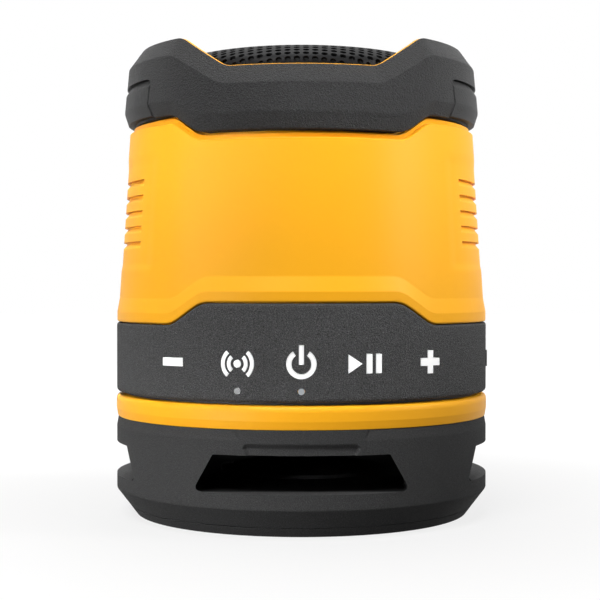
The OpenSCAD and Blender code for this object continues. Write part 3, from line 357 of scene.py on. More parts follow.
def with_rows(sections, place, azimuths, rows, radius):
    """Sections with points added at a place, at given heights and a radius by azimuth and height."""
    grid_az, grid_z = np.meshgrid(azimuths, rows, indexing="ij")
    added = np.stack([radius(grid_az, grid_z), grid_z], 2)
    return np.concatenate([sections[:, :place], added, sections[:, place:]], 1)


def blocks(name, loops):
    """Closed blocks, each between a near and a far loop of as many points."""
    points = []
    faces = []
    for near, far in loops:
        first = len(points)
        count = len(near)
        points += [*near, *far]
        faces.append(tuple(range(first + count - 1, first - 1, -1)))
        faces.append(tuple(range(first + count, first + 2 * count)))
        for k in range(count):
            n = (k + 1) % count
            faces.append((first + k, first + n, first + count + n, first + count + k))
    return point_outwards(add_object(name, points, faces))


def prism(name, outlines, azimuth, z, near, far):
    """Outlines of (right, up) points, extruded outwards at an azimuth between two distances."""
    a = math.radians(azimuth)
    out = np.array([math.sin(a), -math.cos(a), 0])
    right = np.array([math.cos(a), math.sin(a), 0])
    up = np.array([0, 0, 1])
    return blocks(name, [[[right * x + out * distance + up * (z + y) for x, y in outline]
                          for distance in (near, far)] for outline in outlines])


def grid_block(name, layers, rows, cols):
    """A closed block between two grids of points."""
    size = rows * cols
    faces = []
    for i in range(rows - 1):
        for j in range(cols - 1):
            k = i * cols + j
            quad = (k, k + 1, k + cols + 1, k + cols)
            faces += [quad, tuple(size + v for v in reversed(quad))]
    grid = np.arange(size).reshape(rows, cols)
    edge = np.concatenate([grid[0], grid[1:, -1], grid[-1, -2::-1], grid[-2:0:-1, 0]]).tolist()
    for k, a in enumerate(edge):
        b = edge[(k + 1) % len(edge)]
        faces.append((a, b, size + b, size + a))
    return point_outwards(add_object(name, np.concatenate(layers), faces))


def joined(objects):
    """One object from several."""
    first, *others = objects
    with editing(first) as bm:
        for obj in others:
            bm.from_mesh(obj.data)
    for obj in others:
        bpy.data.objects.remove(obj)
    return first


def arc(cx, cy, r, start, end, steps=8):
    return [(cx + r * math.cos(math.radians(t)), cy + r * math.sin(math.radians(t)))
            for t in np.linspace(start, end, steps)]


def disc(d, steps=24):
    return arc(0, 0, d / 2, 0, 360 * (1 - 1 / steps), steps)


def rounded_box(w, h, r, steps=5):
    """Outline of a rectangle with round corners."""
    x = w / 2 - r
    y = h / 2 - r
    return (arc(x, y, r, 0, 90, steps) + arc(-x, y, r, 90, 180, steps)
            + arc(-x, -y, r, 180, 270, steps) + arc(x, -y, r, 270, 360, steps))


# Effects that several finishes share


def shader_group(name, inputs, outputs):
    tree = bpy.data.node_groups.new(name, "ShaderNodeTree")
    for kind, label, default in inputs:
        socket = tree.interface.new_socket(label, in_out="INPUT", socket_type="NodeSocket" + kind)
        if default is not None:
            socket.default_value = default
    for kind, label in outputs:
        tree.interface.new_socket(label, in_out="OUTPUT", socket_type="NodeSocket" + kind)
    return tree, tree.nodes.new("NodeGroupInput"), tree.nodes.new("NodeGroupOutput")


def math_node(tree, operation, *values):
    """A Math node; each value is a number or a socket."""
    node = tree.nodes.new("ShaderNodeMath")
    node.operation = operation
    for socket, value in zip(node.inputs, values):
        if isinstance(value, (int, float)):
            socket.default_value = value
        else:
            tree.links.new(value, socket)
    return node.outputs[0]


def noise_node(tree, vector, scale, detail, roughness=0.55):
    node = tree.nodes.new("ShaderNodeTexNoise")
    node.inputs["Detail"].default_value = detail
    node.inputs["Roughness"].default_value = roughness
    tree.links.new(vector, node.inputs["Vector"])
    tree.links.new(scale, node.inputs["Scale"])
    return node.outputs["Fac"]


def patches(tree, given, detail):
    """Noise about zero, in patches of the given size."""
    scale = math_node(tree, "DIVIDE", 1, given.outputs["Patch Size"])
    return math_node(tree, "SUBTRACT", noise_node(tree, given.outputs["Vector"], scale, detail), 0.5)


def make_grain_group():
    """Spark-eroded mould texture: pits of one size with finer noise on them, and painted glints where the
    finer noise stands highest.
    """
    pit_share = 0.6
    fineness = 1.7
    sparseness = 3
    tree, given, result = shader_group(
        "mould_grain", [("Vector", "Vector", None), ("Float", "Grain Size", 0.0005)],
        [("Float", "Height"), ("Float", "Specks")])
    scale = math_node(tree, "DIVIDE", 1, given.outputs["Grain Size"])
    pits = tree.nodes.new("ShaderNodeTexVoronoi")
    pits.feature = "SMOOTH_F1"
    tree.links.new(given.outputs["Vector"], pits.inputs["Vector"])
    tree.links.new(scale, pits.inputs["Scale"])
    fine = noise_node(tree, given.outputs["Vector"], math_node(tree, "MULTIPLY", scale, fineness), 3)
    height = math_node(tree, "ADD", math_node(tree, "MULTIPLY", pits.outputs["Distance"], pit_share), fine)
    tree.links.new(height, result.inputs["Height"])
    # Painted glints: the highest points of the finer noise, which lighten the colour there.
    painted_glints = math_node(tree, "POWER", fine, sparseness)
    tree.links.new(painted_glints, result.inputs["Specks"])
    return tree


def make_drift_group():
    """Slow change of a colour's brightness over a surface, at random, and painted glints that lighten it
    further where the grain or the weave stands up.
    """
    tree, given, result = shader_group(
        "tone_drift_and_glints", [("Vector", "Vector", None), ("Color", "Colour", (0.5, 0.5, 0.5, 1)),
                       ("Float", "Amount", 0.05), ("Float", "Patch Size", 0.03), ("Float", "Specks", 0)],
        [("Color", "Colour")])
    drift = math_node(tree, "MULTIPLY", patches(tree, given, 2), given.outputs["Amount"])
    factor = math_node(tree, "ADD", drift, 1)
    factor = math_node(tree, "ADD", factor, given.outputs["Specks"])
    scaled = tree.nodes.new("ShaderNodeVectorMath")
    scaled.operation = "SCALE"
    tree.links.new(given.outputs["Colour"], scaled.inputs[0])
    tree.links.new(factor, scaled.inputs["Scale"])
    tree.links.new(scaled.outputs[0], result.inputs["Colour"])
    return tree


def make_polish_group():
    """Roughness that changes in patches, as handling and moulding leave it."""
    tree, given, result = shader_group(
        "handling_polish", [("Vector", "Vector", None), ("Float", "Roughness", 0.5),
                            ("Float", "Spread", 0.1), ("Float", "Patch Size", 0.012)],
        [("Float", "Roughness")])
    change = math_node(tree, "MULTIPLY", patches(tree, given, 4), given.outputs["Spread"])
    value = math_node(tree, "ADD", given.outputs["Roughness"], change)
    tree.links.new(value, result.inputs["Roughness"])
    return tree


def make_weave_group():
    """Threads crossing in a plain weave."""
    tree, given, result = shader_group(
        "plain_weave", [("Vector", "Vector", None), ("Float", "Thread", 0.0004)], [("Float", "Height")])
    turns = math_node(tree, "DIVIDE", math.pi, given.outputs["Thread"])
    split = tree.nodes.new("ShaderNodeSeparateXYZ")
    tree.links.new(given.outputs["Vector"], split.inputs[0])
    waves = [math_node(tree, "SINE", math_node(tree, "MULTIPLY", split.outputs[axis], turns))
             for axis in ("X", "Y")]
    crossing = math_node(tree, "ABSOLUTE", math_node(tree, "MULTIPLY", *waves))
    tree.links.new(crossing, result.inputs["Height"])
    return tree


GRAIN = make_grain_group()
DRIFT_AND_GLINTS = make_drift_group()
POLISH = make_polish_group()
WEAVE = make_weave_group()

# Finishes

FINISHES = {}


class Finish:
    """A material with one Principled shader and helpers that place the shared effects in it."""

    def __init__(self, name):
        self.material = bpy.data.materials.new(name)
        self.material.use_nodes = True
        self.tree = self.material.node_tree
        self.tree.nodes.clear()
        out = self.tree.nodes.new("ShaderNodeOutputMaterial")
        self.shader = self.tree.nodes.new("ShaderNodeBsdfPrincipled")
        self.tree.links.new(self.shader.outputs[0], out.inputs[0])
        self.place = self.tree.nodes.new("ShaderNodeTexCoord").outputs["Object"]

    def effect(self, group, **values):
        node = self.tree.nodes.new("ShaderNodeGroup")
        node.node_tree = group
        self.tree.links.new(self.place, node.inputs["Vector"])
        for label, value in values.items():
            socket = node.inputs[label.replace("_", " ")]
            if isinstance(value, bpy.types.NodeSocket):
                self.tree.links.new(value, socket)
            else:
                socket.default_value = value
        return node

    def feed(self, socket, output):
        self.tree.links.new(output, self.shader.inputs[socket])

    def bump(self, height, depth_mm, strength=1.0):
        node = self.tree.nodes.new("ShaderNodeBump")
        node.inputs["Strength"].default_value = strength
        node.inputs["Distance"].default_value = depth_mm * MM
        self.tree.links.new(height, node.inputs["Height"])
        self.feed("Normal", node.outputs["Normal"])


def moulded(name, colour, roughness, grain_mm, depth_mm, drift=0.06, painted_glints=0.0, spread=0.1, **sockets):
    """Moulded plastic, rubber or coating with a mould grain, and painted glints that lighten the grain's high
    points.
    """
    finish = Finish(name)
    grain = finish.effect(GRAIN, Grain_Size=grain_mm * MM)
    glint_lift = math_node(finish.tree, "MULTIPLY", grain.outputs["Specks"], painted_glints)
    tone = finish.effect(DRIFT_AND_GLINTS, Colour=(*colour, 1), Amount=drift, Specks=glint_lift)
    polish = finish.effect(POLISH, Roughness=roughness, Spread=spread)
    finish.feed("Base Color", tone.outputs["Colour"])
    finish.feed("Roughness", polish.outputs["Roughness"])
    finish.bump(grain.outputs["Height"], depth_mm)
    for label, value in sockets.items():
        finish.shader.inputs[label.replace("_", " ")].default_value = value
    FINISHES[name] = finish.material


def metal(name, colour, roughness, grain_mm, depth_mm):
    """Bare or plated metal."""
    moulded(name, colour, roughness, grain_mm, depth_mm, drift=0.1, spread=0.15, Metallic=1.0)


def woven(name, colour, thread_mm, depth_mm, thread_highlight=0.6, drift=0.12):
    """Cloth in a plain weave, with painted highlights: lighter on the threads' backs."""
    finish = Finish(name)
    weave = finish.effect(WEAVE, Thread=thread_mm * MM)
    # Painted highlight: the threads' raised backs are lightened.
    lighter = math_node(finish.tree, "MULTIPLY", weave.outputs["Height"], thread_highlight)
    tone = finish.effect(DRIFT_AND_GLINTS, Colour=(*colour, 1), Amount=drift, Specks=lighter)
    finish.feed("Base Color", tone.outputs["Colour"])
    finish.shader.inputs["Roughness"].default_value = 0.9
    finish.shader.inputs["Sheen Weight"].default_value = 0.2
    finish.bump(weave.outputs["Height"], depth_mm)
    FINISHES[name] = finish.material


def make_finishes():
    """Finishes by slot: colour, roughness, grain and its depth in mm; cloth has its thread and depth."""
    # The speck amounts below lighten the grain's high points as painted glints, most on the collar and the
    # band.
    moulded("yellow_shell", (0.93, 0.42, 0.012), 0.46, 0.35, 0.012, drift=0.03,
            spread=0.08, Specular_IOR_Level=0.18)
    moulded("collar_rubber", (0.0050, 0.0050, 0.0051), 0.46, 0.45, 0.60, painted_glints=25.0,
            Specular_IOR_Level=0.20)
    moulded("band_rubber", (0.024, 0.024, 0.0242), 0.80, 0.40, 0.45, painted_glints=17.0, Specular_IOR_Level=0.08)
    moulded("foot_rubber", (0.028, 0.028, 0.0282), 0.75, 0.35, 0.12, painted_glints=4.0, Specular_IOR_Level=0.05)
    moulded("grille_steel", (0.007, 0.007, 0.0075), 0.48, 0.12, 0.010, Specular_IOR_Level=0.08)
    # The signs glow a little (Emission Strength 0.2): painted light that makes them whiter, as they are no
    # lamps.
    moulded("white_sign", (0.95, 0.95, 0.945), 0.45, 0.30, 0.004, drift=0.02, Emission_Strength=0.2)
    moulded("light_pipe", (0.50, 0.52, 0.54), 0.20, 0.60, 0.004, drift=0.1, Transmission_Weight=0.2)
    moulded("unlit_light_pipe", (0.24, 0.245, 0.25), 0.30, 0.60, 0.004, drift=0.1)
    # This black is also laid inside the foot's windows and hollow as painted shade.
    moulded("black_plastic", (0.012, 0.012, 0.0122), 0.80, 0.35, 0.012, Specular_IOR_Level=0.0)
    woven("acoustic_cloth", (0.012, 0.012, 0.012), 0.35, 0.10)
    moulded("seal_rubber", (0.020, 0.020, 0.020), 0.60, 0.50, 0.020)
    moulded("cone_paper", (0.028, 0.027, 0.025), 0.80, 0.90, 0.060, drift=0.2, painted_glints=0.5)
    woven("spider_cloth", (0.42, 0.28, 0.10), 0.5, 0.12)
    metal("copper", (0.72, 0.32, 0.14), 0.30, 0.25, 0.010)
    moulded("magnet", (0.06, 0.06, 0.065), 0.65, 0.40, 0.030, drift=0.2)
    metal("plated_steel", (0.62, 0.63, 0.66), 0.32, 0.20, 0.004)
    moulded("basket_steel", (0.045, 0.045, 0.048), 0.40, 0.30, 0.015, Metallic=0.3)
    moulded("cell_sleeve", (0.035, 0.14, 0.42), 0.28, 2.0, 0.010, drift=0.08)
    moulded("circuit_board", (0.010, 0.11, 0.045), 0.35, 0.8, 0.010, drift=0.25)
    moulded("component_black", (0.02, 0.02, 0.02), 0.55, 0.25, 0.010, painted_glints=0.4)


make_finishes()


def coat(obj, slot):
    """Gives an object the finish of a slot alone."""
    obj.data.materials.clear()
    obj.data.materials.append(FINISHES[slot])


def dress(obj, slot, body="root", replaces=()):
    """Gives a finished piece the material of its slot, puts it on its body and hides the nodes that it stands
    for.
    """
    coat(obj, slot)
    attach(obj, body)
    if replaces:
        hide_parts(*replaces)
    return obj


def split_at(obj, reach):
    """Parts the faces along four upright planes at a distance from the middle."""
    with editing(obj) as bm:
        for way in ((1, 0, 0), (-1, 0, 0), (0, 1, 0), (0, -1, 0)):
            bmesh.ops.bisect_plane(bm, geom=bm.verts[:] + bm.edges[:] + bm.faces[:], dist=TOUCHING,
                                   plane_co=Vector(way) * reach * MM, plane_no=way)


def paint_shade_inside(obj, slot, reach, r, z):
    """Painted shade: a second, near-black finish on the faces over a height that lie inside four upright
    planes and a radius, where shade falls inside the windows.
    """
    obj.data.materials.append(FINISHES[slot])
    for face in obj.data.polygons:
        x, y = abs(face.center.x), abs(face.center.y)
        inside = max(x, y) < reach * MM and math.hypot(x, y) < r * MM
        face.material_index = int(inside and face.center.z > z * MM)


def dress_cad_nodes():
    """The nodes whose shape stays get the finish of their slot."""
    for part in frame["record"]["subparts"]:
        coat(frame["nodes"][part["node"]], part["material_slot"])
    coat(frame["nodes"]["light_pipe_pairing"], "unlit_light_pipe")


def make_suspensions():
    """Copies of the soft rings, in place of their nodes, with the finish of their slot."""
    slots = {part["node"]: part["material_slot"] for part in frame["record"]["subparts"]}
    for joint in frame["record"]["behaviour"]["joints"]:
        for flexing in joint.get("deforming_nodes", []):
            node = flexing["node"]
            soft_ring = in_scene(node + "_ring", frame["nodes"][node].data.copy())
            coat(shade(point_outwards(soft_ring)), slots[node])
            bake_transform(soft_ring)
            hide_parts(node)


# Yellow shell

# Grip fields on the two sides: angles from the side, sizes, and how softly the field's ends fade
grip_half = 38
groove_half = 31
grip_depth = 0.25
grip_margin = 6.5
grip_end_fade = 5.0
grip_low_fade = 2.4
grip_high_fade = 4.0
groove_count = 5
groove_pitch = 4.37
groove_drop = 16.3
groove_h = 1.8
groove_depth = 0.9
groove_lip_h = 0.15
groove_flat_h = 0.6
groove_end_fade = 0.6
groove_z = collar_side_z - groove_drop - groove_pitch * np.arange(groove_count)
grip_low_z = groove_z[-1] - grip_margin
grip_high_z = groove_z[0] + grip_margin

# Recess of the charging port
recess_w = 16.4
recess_h = 10
recess_corner = 1.2
recess_back_x = highest("usb_socket").x + recess_gap


def grip(az, z):
    """Depth of the grip field and its grooves on the two sides."""
    from_side = 90 - folded(az)
    depth = (grip_depth * smooth_step(grip_half - from_side, grip_end_fade)
             * smooth_step(z - grip_low_z, grip_low_fade) * smooth_step(grip_high_z - z, grip_high_fade))
    for middle in groove_z:
        below = middle + groove_h / 2 - z
        slope = (groove_h - below) / (groove_h - groove_flat_h)
        cut = np.clip(below / groove_lip_h, 0, 1) * np.clip(slope, 0, 1)
        depth = depth + groove_depth * cut * smooth_step(groove_half - from_side, groove_end_fade)
    return depth


def grip_rows():
    """Heights of the barrel's rows, from the bottom up: close together at the grooves."""
    under_top = [-0.3, 0, 0.08, groove_lip_h, groove_flat_h, 1.0, 1.4, groove_h, groove_h + 0.3]
    rows = [middle + groove_h / 2 - drop for middle in groove_z for drop in under_top]
    rows += [end + step for end in (grip_low_z, grip_high_z) for step in np.arange(-2, 2.5, 0.5)]
    return np.array(sorted(rows))


def make_port_cutter():
    return prism("port_cutter", [rounded_box(recess_w, recess_h, recess_corner)], 90, port_z,
                 recess_back_x, body_r)


def make_main_shell():
    az = contour_azimuths
    flare_z = band_line(az) + line_gap
    bevel_z = flare_z + flare_edge_h
    low_z = bevel_z + flare_bevel_h
    top_z = low_line(az) - strip_gap
    strip_z = top_z - strip_h
    lip_z = neck_line(np.degrees(np.arcsin(np.sin(np.radians(az)) * neck_crest_r / neck_r)))
    ledge_z = rim_front_z - ledge_drop
    ledge_r = neck_inner_r - ledge_w
    ledge_low_z = ledge_z - ledge_t
    corners = [
        (recess_r, shell_low_z, 0.2), (recess_r, flare_z, 0), (flare_r, flare_z, 0.6),
        (flare_r, bevel_z, 1.6), (barrel_r(low_z), low_z, 2.5),
        (barrel_r(strip_z), strip_z, 0.12),
        (barrel_r(strip_z) - strip_foot_inset, strip_z + strip_foot_h / 2, 0.06),
        (barrel_r(strip_z) - strip_inset, strip_z + strip_foot_h, 0.12),
        (barrel_r(top_z) - strip_top_inset, top_z, 0.15), (neck_r, top_z, 0),
        (neck_r, lip_z, 0.35), (neck_inner_r, lip_z, 0.35), (neck_inner_r, ledge_z, 0.3),
        (ledge_r, ledge_z, 0.2), (ledge_r, ledge_low_z, 0.3),
        (shell_inner_r, ledge_low_z - shell_inner_r + ledge_r, 0.5), (shell_inner_r, shell_low_z, 0.2)]
    sections, starts = filleted(corners, az)
    barrel_end = starts[5]
    sections = with_rows(sections, barrel_end, az, grip_rows(), lambda az, z: barrel_r(z) - grip(az, z))
    shell = ring("main_shell_skin", sections, az)
    boolean(shell, make_port_cutter())
    dress(shade(shell), "yellow_shell", replaces=["main_shell"])


def make_port_tray():
    """The walls and the floor of the port's recess, with the socket's mouth."""
    wall = 1.5
    floor_t = 1.6
    corner = 2.2
    front_gap = 0.6
    mouth_w = 9.3
    mouth_h = 3.5
    mouth_corner = 1.3
    mouth = rounded_box(mouth_w, mouth_h, mouth_corner)
    tray = prism("port_tray", [rounded_box(recess_w + 2 * wall, recess_h + 2 * wall, corner)], 90, port_z,
                 recess_back_x - floor_t, shell_inner_r - front_gap)
    boolean(tray, make_port_cutter())
    boolean(tray, prism("mouth", [mouth], 90, port_z, recess_back_x - 2 * cut_over, recess_back_x + 1))
    round_edges(tray, 0.25, 2)
    dress(shade(tray), "black_plastic")


# Rubber collar and its pads

pad_corner_w = 2.5
pad_corner_h = 1.3
pad_lift = 0.4
pad_t = 2.0
pad_slot = 0.25
pad_side_gap = 0.4
pad_bevel = 1.0
pad_shoulder_h = 2.0
pad_proud = 0.12
collar_inner_r = neck_r + slide_gap
collar_tip_out = 0.2
collar_mid_r = collar_r - collar_lean
collar_rim_r = neck_r + fit_gap


def collar_side_r(z):
    """Radius of the collar's side face."""
    tip_z = collar_side_z + edge_lift + collar_gap
    bevel_z = collar_side_z + low_bevel_h
    upper_z = rim_side_z - rim_bevel_h
    return np.interp(z, [tip_z, bevel_z, upper_z], [barrel_top_r + collar_tip_out, collar_r, collar_mid_r])


def pad_half_width(z, top, half):
    """Half width of a pad's outline, which has round upper corners."""
    over = np.clip((z - top) / pad_corner_h + 1, 0, 1)
    return half - pad_corner_w * (1 - np.sqrt(1 - over ** 2))


def pad_block(name, side, outer, inner, low, top, half, bevel=0.0, cols=48, rows=26):
    """A block on the collar's side face, from an outer to an inner offset, drawn in at its top."""
    z = low + (top - low) * np.sin(np.linspace(0, math.pi / 2, rows))
    u = np.linspace(-1, 1, cols)
    grid_z, grid_u = np.meshgrid(z, u, indexing="ij")
    y = grid_u * pad_half_width(grid_z, top, half)
    layers = []
    drawn_in = bevel * np.clip((grid_z - top) / pad_shoulder_h + 1, 0, 1)
    for offset in (outer, inner):
        r = collar_side_r(grid_z) + offset - (drawn_in if offset == outer else 0)
        layers.append(np.stack([side * np.sqrt(r ** 2 - y ** 2), y, grid_z], 2).reshape(-1, 3))
    return grid_block(name, layers, rows, cols)


def make_collar():
    az = contour_azimuths
    low = low_line(az) + collar_gap
    ridge = ridge_line(az)
    rim = rim_line(az)
    corners = [
        (collar_inner_r, low, 0), (barrel_r(low) + collar_tip_out, low, 0.6), (collar_r, ridge, 0.8),
        (collar_mid_r, rim - rim_bevel_h, 0.8), (collar_rim_r, rim, 0.15), (collar_inner_r, rim, 0)]
    collar = turned("rubber_collar", corners, az, 7)
    for side in (-1, 1):
        boolean(collar, pad_block("pocket", side, cut_over, -pad_t - slide_gap, pad_low_z - cut_over,
                                  pad_top_z + pad_lift + pad_slot, pad_half_w + pad_side_gap))
    round_edges(collar, 0.25, 2, 50)
    dress(shade(collar), "collar_rubber", replaces=["top_bumper"])
    for side, word in ((-1, "left"), (1, "right")):
        pad = pad_block("inset_pad_" + word, side, pad_proud, -pad_t, pad_low_z + edge_lift + collar_gap,
                        pad_top_z + pad_lift, pad_half_w, pad_bevel)
        round_edges(pad, 0.35, 3, 50)
        dress(shade(pad), "collar_rubber", replaces=["bumper_pad_" + word])


# Port door

door_front_y = lowest("port_door").y
door_t = band_t - recess_gap
door_h = 12.0
door_cut = 3
hinge_y = 12.0
hinge_x = math.sqrt((band_r - door_t / 2) ** 2 - hinge_y ** 2)
pin_d = 1.2
pin_reach = 1.5
lip_inset = 0.3
lip_w = 2.2
lip_h = 4.7
lip_proud = 0.35
lip_root = 0.8


def curved_panel(name, front_y, back_y, h, outer, inner, cols=40, rows=16):
    """A panel at the port's height, between two offsets from the band's round face."""
    y = np.linspace(front_y, back_y, cols)
    z = np.linspace(port_z - h / 2, port_z + h / 2, rows)
    grid_z, grid_y = np.meshgrid(z, y, indexing="ij")
    layers = []
    for offset in (outer, inner):
        x = np.sqrt((band_r + offset) ** 2 - grid_y ** 2)
        layers.append(np.stack([x, grid_y, grid_z], 2).reshape(-1, 3))
    return grid_block(name, layers, rows, cols)


def upright_pin(name, d, h, steps=32):
    """An upright round pin on the hinge's axis, at the port's height."""
    ends = (port_z - h / 2, port_z + h / 2)
    return blocks(name, [[[(hinge_x + x, hinge_y + y, z) for x, y in disc(d, steps)] for z in ends]])


def make_port_door():
    """The door's panel with its hinge barrel, pull lip and pins."""
    door = curved_panel("port_door_skin", door_front_y, hinge_y, door_h, 0, -door_t)
    boolean(door, upright_pin("barrel", door_t, door_h), "UNION")
    lip_y = door_front_y + lip_inset
    lip = curved_panel("lip", lip_y, lip_y + lip_w, lip_h, lip_proud, -lip_root, 6, 6)
    boolean(door, lip, "UNION")
    round_edges(door, 0.3, 2, 50)
    pins = upright_pin("pins", pin_d, door_h + 2 * pin_reach)
    dress(shade(joined([door, pins])), "band_rubber", "port_cover", ["port_door"])


# Control band and the signs in it

# Azimuths of the inner and outer signs, and heights of the signs and lights over the band's foot
sign_step = 18
sign_reach = 39.5
sign_rise = 10.7
light_rise = 3.5
light_d = 1.7
sign_z = band_low_z + sign_rise
light_z = band_low_z + light_rise


def bar(x, y, w, h, grow):
    half_w = w / 2 + grow
    half_h = h / 2 + grow
    return [(x - half_w, y - half_h), (x + half_w, y - half_h), (x + half_w, y + half_h),
            (x - half_w, y + half_h)]


def arc_band(r, stroke, start, end, grow):
    """An arc of a stroke's width inside a radius."""
    extra = math.degrees(grow / r)
    return (arc(0, 0, r + grow, start - extra, end + extra, 32)
            + arc(0, 0, r - stroke - grow, end + extra, start - extra, 32))


def sign_outlines(grow):
    """Outlines of the signs by azimuth, widened by a clearance."""
    tip = 1.8 * grow
    wave_half = 48
    plus = [(1, 3.1), (-1, 3.1), (-1, 1), (-3.5, 1), (-3.5, -1), (-1, -1)]
    plus = plus + [(-x, -y) for x, y in plus]
    waves = [arc_band(r, 1, turn - wave_half, turn + wave_half, grow)
             for turn in (0, 180) for r in (2.9, 4.6)]
    return {
        -sign_reach: [bar(0, 0, 7.4, 2.2, grow)],
        -sign_step: [disc(2 + 2 * grow)] + waves,
        0: [arc_band(3.9, 1.2, 125, 415, grow), bar(0, 2.4, 1.1, 5, grow)],
        sign_step: [[(-4.7 - grow, -2.5 - tip), (-0.9 + tip, 0), (-4.7 - grow, 2.5 + tip)],
                    bar(1.1, 0, 1.6, 5.1, grow), bar(3.8, 0, 1.6, 5.1, grow)],
        sign_reach: [[(x + grow * np.sign(x), y + grow * np.sign(y)) for x, y in plus]],
    }


def make_control_band():
    az = contour_azimuths
    top = band_line(az)
    low = band_low_z + band_lift
    corners = [(band_inner_r, low, 0), (band_r, low, 1.5), (band_r, top, 0.9),
               (band_inner_r, top, 0)]
    band = turned("control_band_skin", corners, az, 7)
    near = band_inner_r - cut_over
    far = band_r + cut_over
    cutters = [prism("cut", outlines, azimuth, sign_z, near, far)
               for azimuth, outlines in sign_outlines(slide_gap).items()]
    cutters += [prism("cut", [disc(light_d + 2 * slide_gap)], azimuth, light_z, near, far)
                for azimuth in (-sign_step, 0)]
    cutters.append(curved_panel("cut", door_front_y - fit_gap, hinge_y, door_h + 2 * fit_gap, door_cut,
                                -door_t - door_cut))
    boolean(band, joined(cutters))
    round_edges(band, 0.12, 2, 50)
    dress(shade(band), "band_rubber", replaces=["control_band"])


# Foot, its rubber ring and the accent ring of the lower chassis

foot_chamfer_h = 7.8
foot_rest_inset = 6
foot_hollow_inset = 10
foot_floor_t = 3
foot_floor_drop = 0.1
foot_pin_r = 0.6
foot_top_chamfer = 0.5
foot_top_chamfer_h = 2.8
window_sill = 12.0
window_h = 10.2
window_sill_w = 58.4
window_head_w = 47.2
window_sill_corner = 1.6
window_head_corner = 0.8
window_over = 5
side_head_drop = 0.7
# Depth of a window's edge with the foot's finish, past which the inside is painted near-black as shade, and
# of the face that keeps the foot's finish all over
sill_depth = 7
face_depth = 2
brow_w = 36
brow_slant = 0.55
brow_drop = 3.5
brow_foot_rise = 1.8
brow_recess_d = 0.9
brow_fade = 0.7
tread_w = 11
tread_pitch = 2.6
tread_count = 3
tread_groove = 0.6
window_head = window_sill + window_h
brow_z = foot_top_z - brow_drop
brow_foot_z = window_head + brow_foot_rise
foot_rest_r = body_r - foot_rest_inset
foot_hollow_r = body_r - foot_hollow_inset
foot_seam_r = foot_rest_r + (foot_r - foot_rest_r) * foot_ring_top_z / foot_chamfer_h
foot_floor_z = window_sill - foot_floor_drop


def foot_inset(az, z):
    """How far the foot's face is drawn in by its top chamfer and under its brows."""
    across = foot_r * np.sin(np.radians(folded(az)))
    half = brow_w / 2 - (foot_top_z - z) * brow_slant
    in_brow = smooth_step(half - across, brow_fade)
    top = foot_top_chamfer * np.clip((z - foot_top_z + foot_top_chamfer_h) / foot_top_chamfer_h, 0, 1)
    under = brow_recess_d * smooth_step((brow_z + brow_foot_z) / 2 - z, brow_z - brow_foot_z)
    lower_half = np.where(z > brow_foot_z, half - 2 * brow_slant * (z - brow_foot_z), half)
    return top * (1 - in_brow) + under * smooth_step(lower_half - across, brow_fade)


def window_outline(drop):
    """A window's outline with round corners, heights from the table, its head lowered by the drop."""
    head = window_head - drop
    corners = [(-window_sill_w / 2, window_sill, window_sill_corner),
               (window_sill_w / 2, window_sill, window_sill_corner),
               (window_head_w / 2, head, window_head_corner), (-window_head_w / 2, head, window_head_corner)]
    points, _ = filleted(corners, np.zeros(1), 6)
    return [tuple(p) for p in points[0]]


def foot_azimuths():
    """Close together at the cheeks of the brows."""
    octant = np.concatenate([np.arange(*span) for span in ((0, 14, 1), (14, 21, 0.25), (21, 45, 1))])
    quarter = np.unique(np.concatenate([octant, 90 - octant[:0:-1], [45]]))
    return np.concatenate([quarter + 90 * k for k in range(4)])


def make_foot():
    az = foot_azimuths()
    top_z = foot_top_z
    row_step = 0.2
    under_z = window_sill - foot_floor_t
    skirt_r = foot_hollow_r - foot_floor_t
    corners = [
        (foot_pin_r, under_z, 0), (skirt_r, under_z, 0.5), (skirt_r, foot_seam_z, 0.3),
        (foot_seam_r, foot_seam_z, 0.25), (foot_r, foot_chamfer_h, 1.0),
        (foot_r, window_head - 3 * row_step, 0),
        (foot_r - foot_inset(az, top_z), top_z, 0), (foot_hollow_r, top_z, 0.4),
        (foot_hollow_r, foot_floor_z, 0.4), (foot_pin_r, foot_floor_z, 0)]
    sections, starts = filleted(corners, az)
    face_end = starts[6]
    rows = np.arange(window_head - 2 * row_step, top_z - 1.25 * row_step, row_step)
    rows = np.append(rows, top_z - row_step / 2)
    sections = with_rows(sections, face_end, az, rows, lambda az, z: foot_r - foot_inset(az, z))
    foot = ring("windowed_foot", sections, az)
    far = body_r + window_over
    for turn, drop in ((0, 0), (90, side_head_drop)):
        boolean(foot, prism("window", [window_outline(drop)], turn, 0, -far, far))
    # Parts the faces where the painted shade inside the windows begins.
    split_at(foot, foot_r - sill_depth)
    round_edges(foot, 0.4, 3, 50)
    dress(shade(foot), "foot_rubber", replaces=["base_foot"])
    # Painted shade: the faces deep in the windows and in the hollow get the near-black finish, standing in
    # for the shade there.
    paint_shade_inside(foot, "black_plastic", foot_r - sill_depth, foot_r - face_depth, foot_chamfer_h)


def make_foot_ring():
    """The rubber ring under the foot, with grooves in its tread."""
    inner_r = foot_rest_r - tread_w
    corners = [(inner_r, 0, 0.4)]
    for k in range(tread_count):
        r = inner_r + tread_pitch * (k + 1)
        corners += [(r + tread_groove * out, tread_groove * up, 0.15)
                    for out, up in ((-1, 0), (-0.5, 1), (0.5, 1), (1, 0))]
    corners += [(foot_rest_r, 0, 0.6), (foot_seam_r, foot_ring_top_z, 0.25), (inner_r, foot_ring_top_z, 0.3)]
    dress(shade(turned("foot_ring_skin", corners)), "foot_rubber", replaces=["foot_ring"])


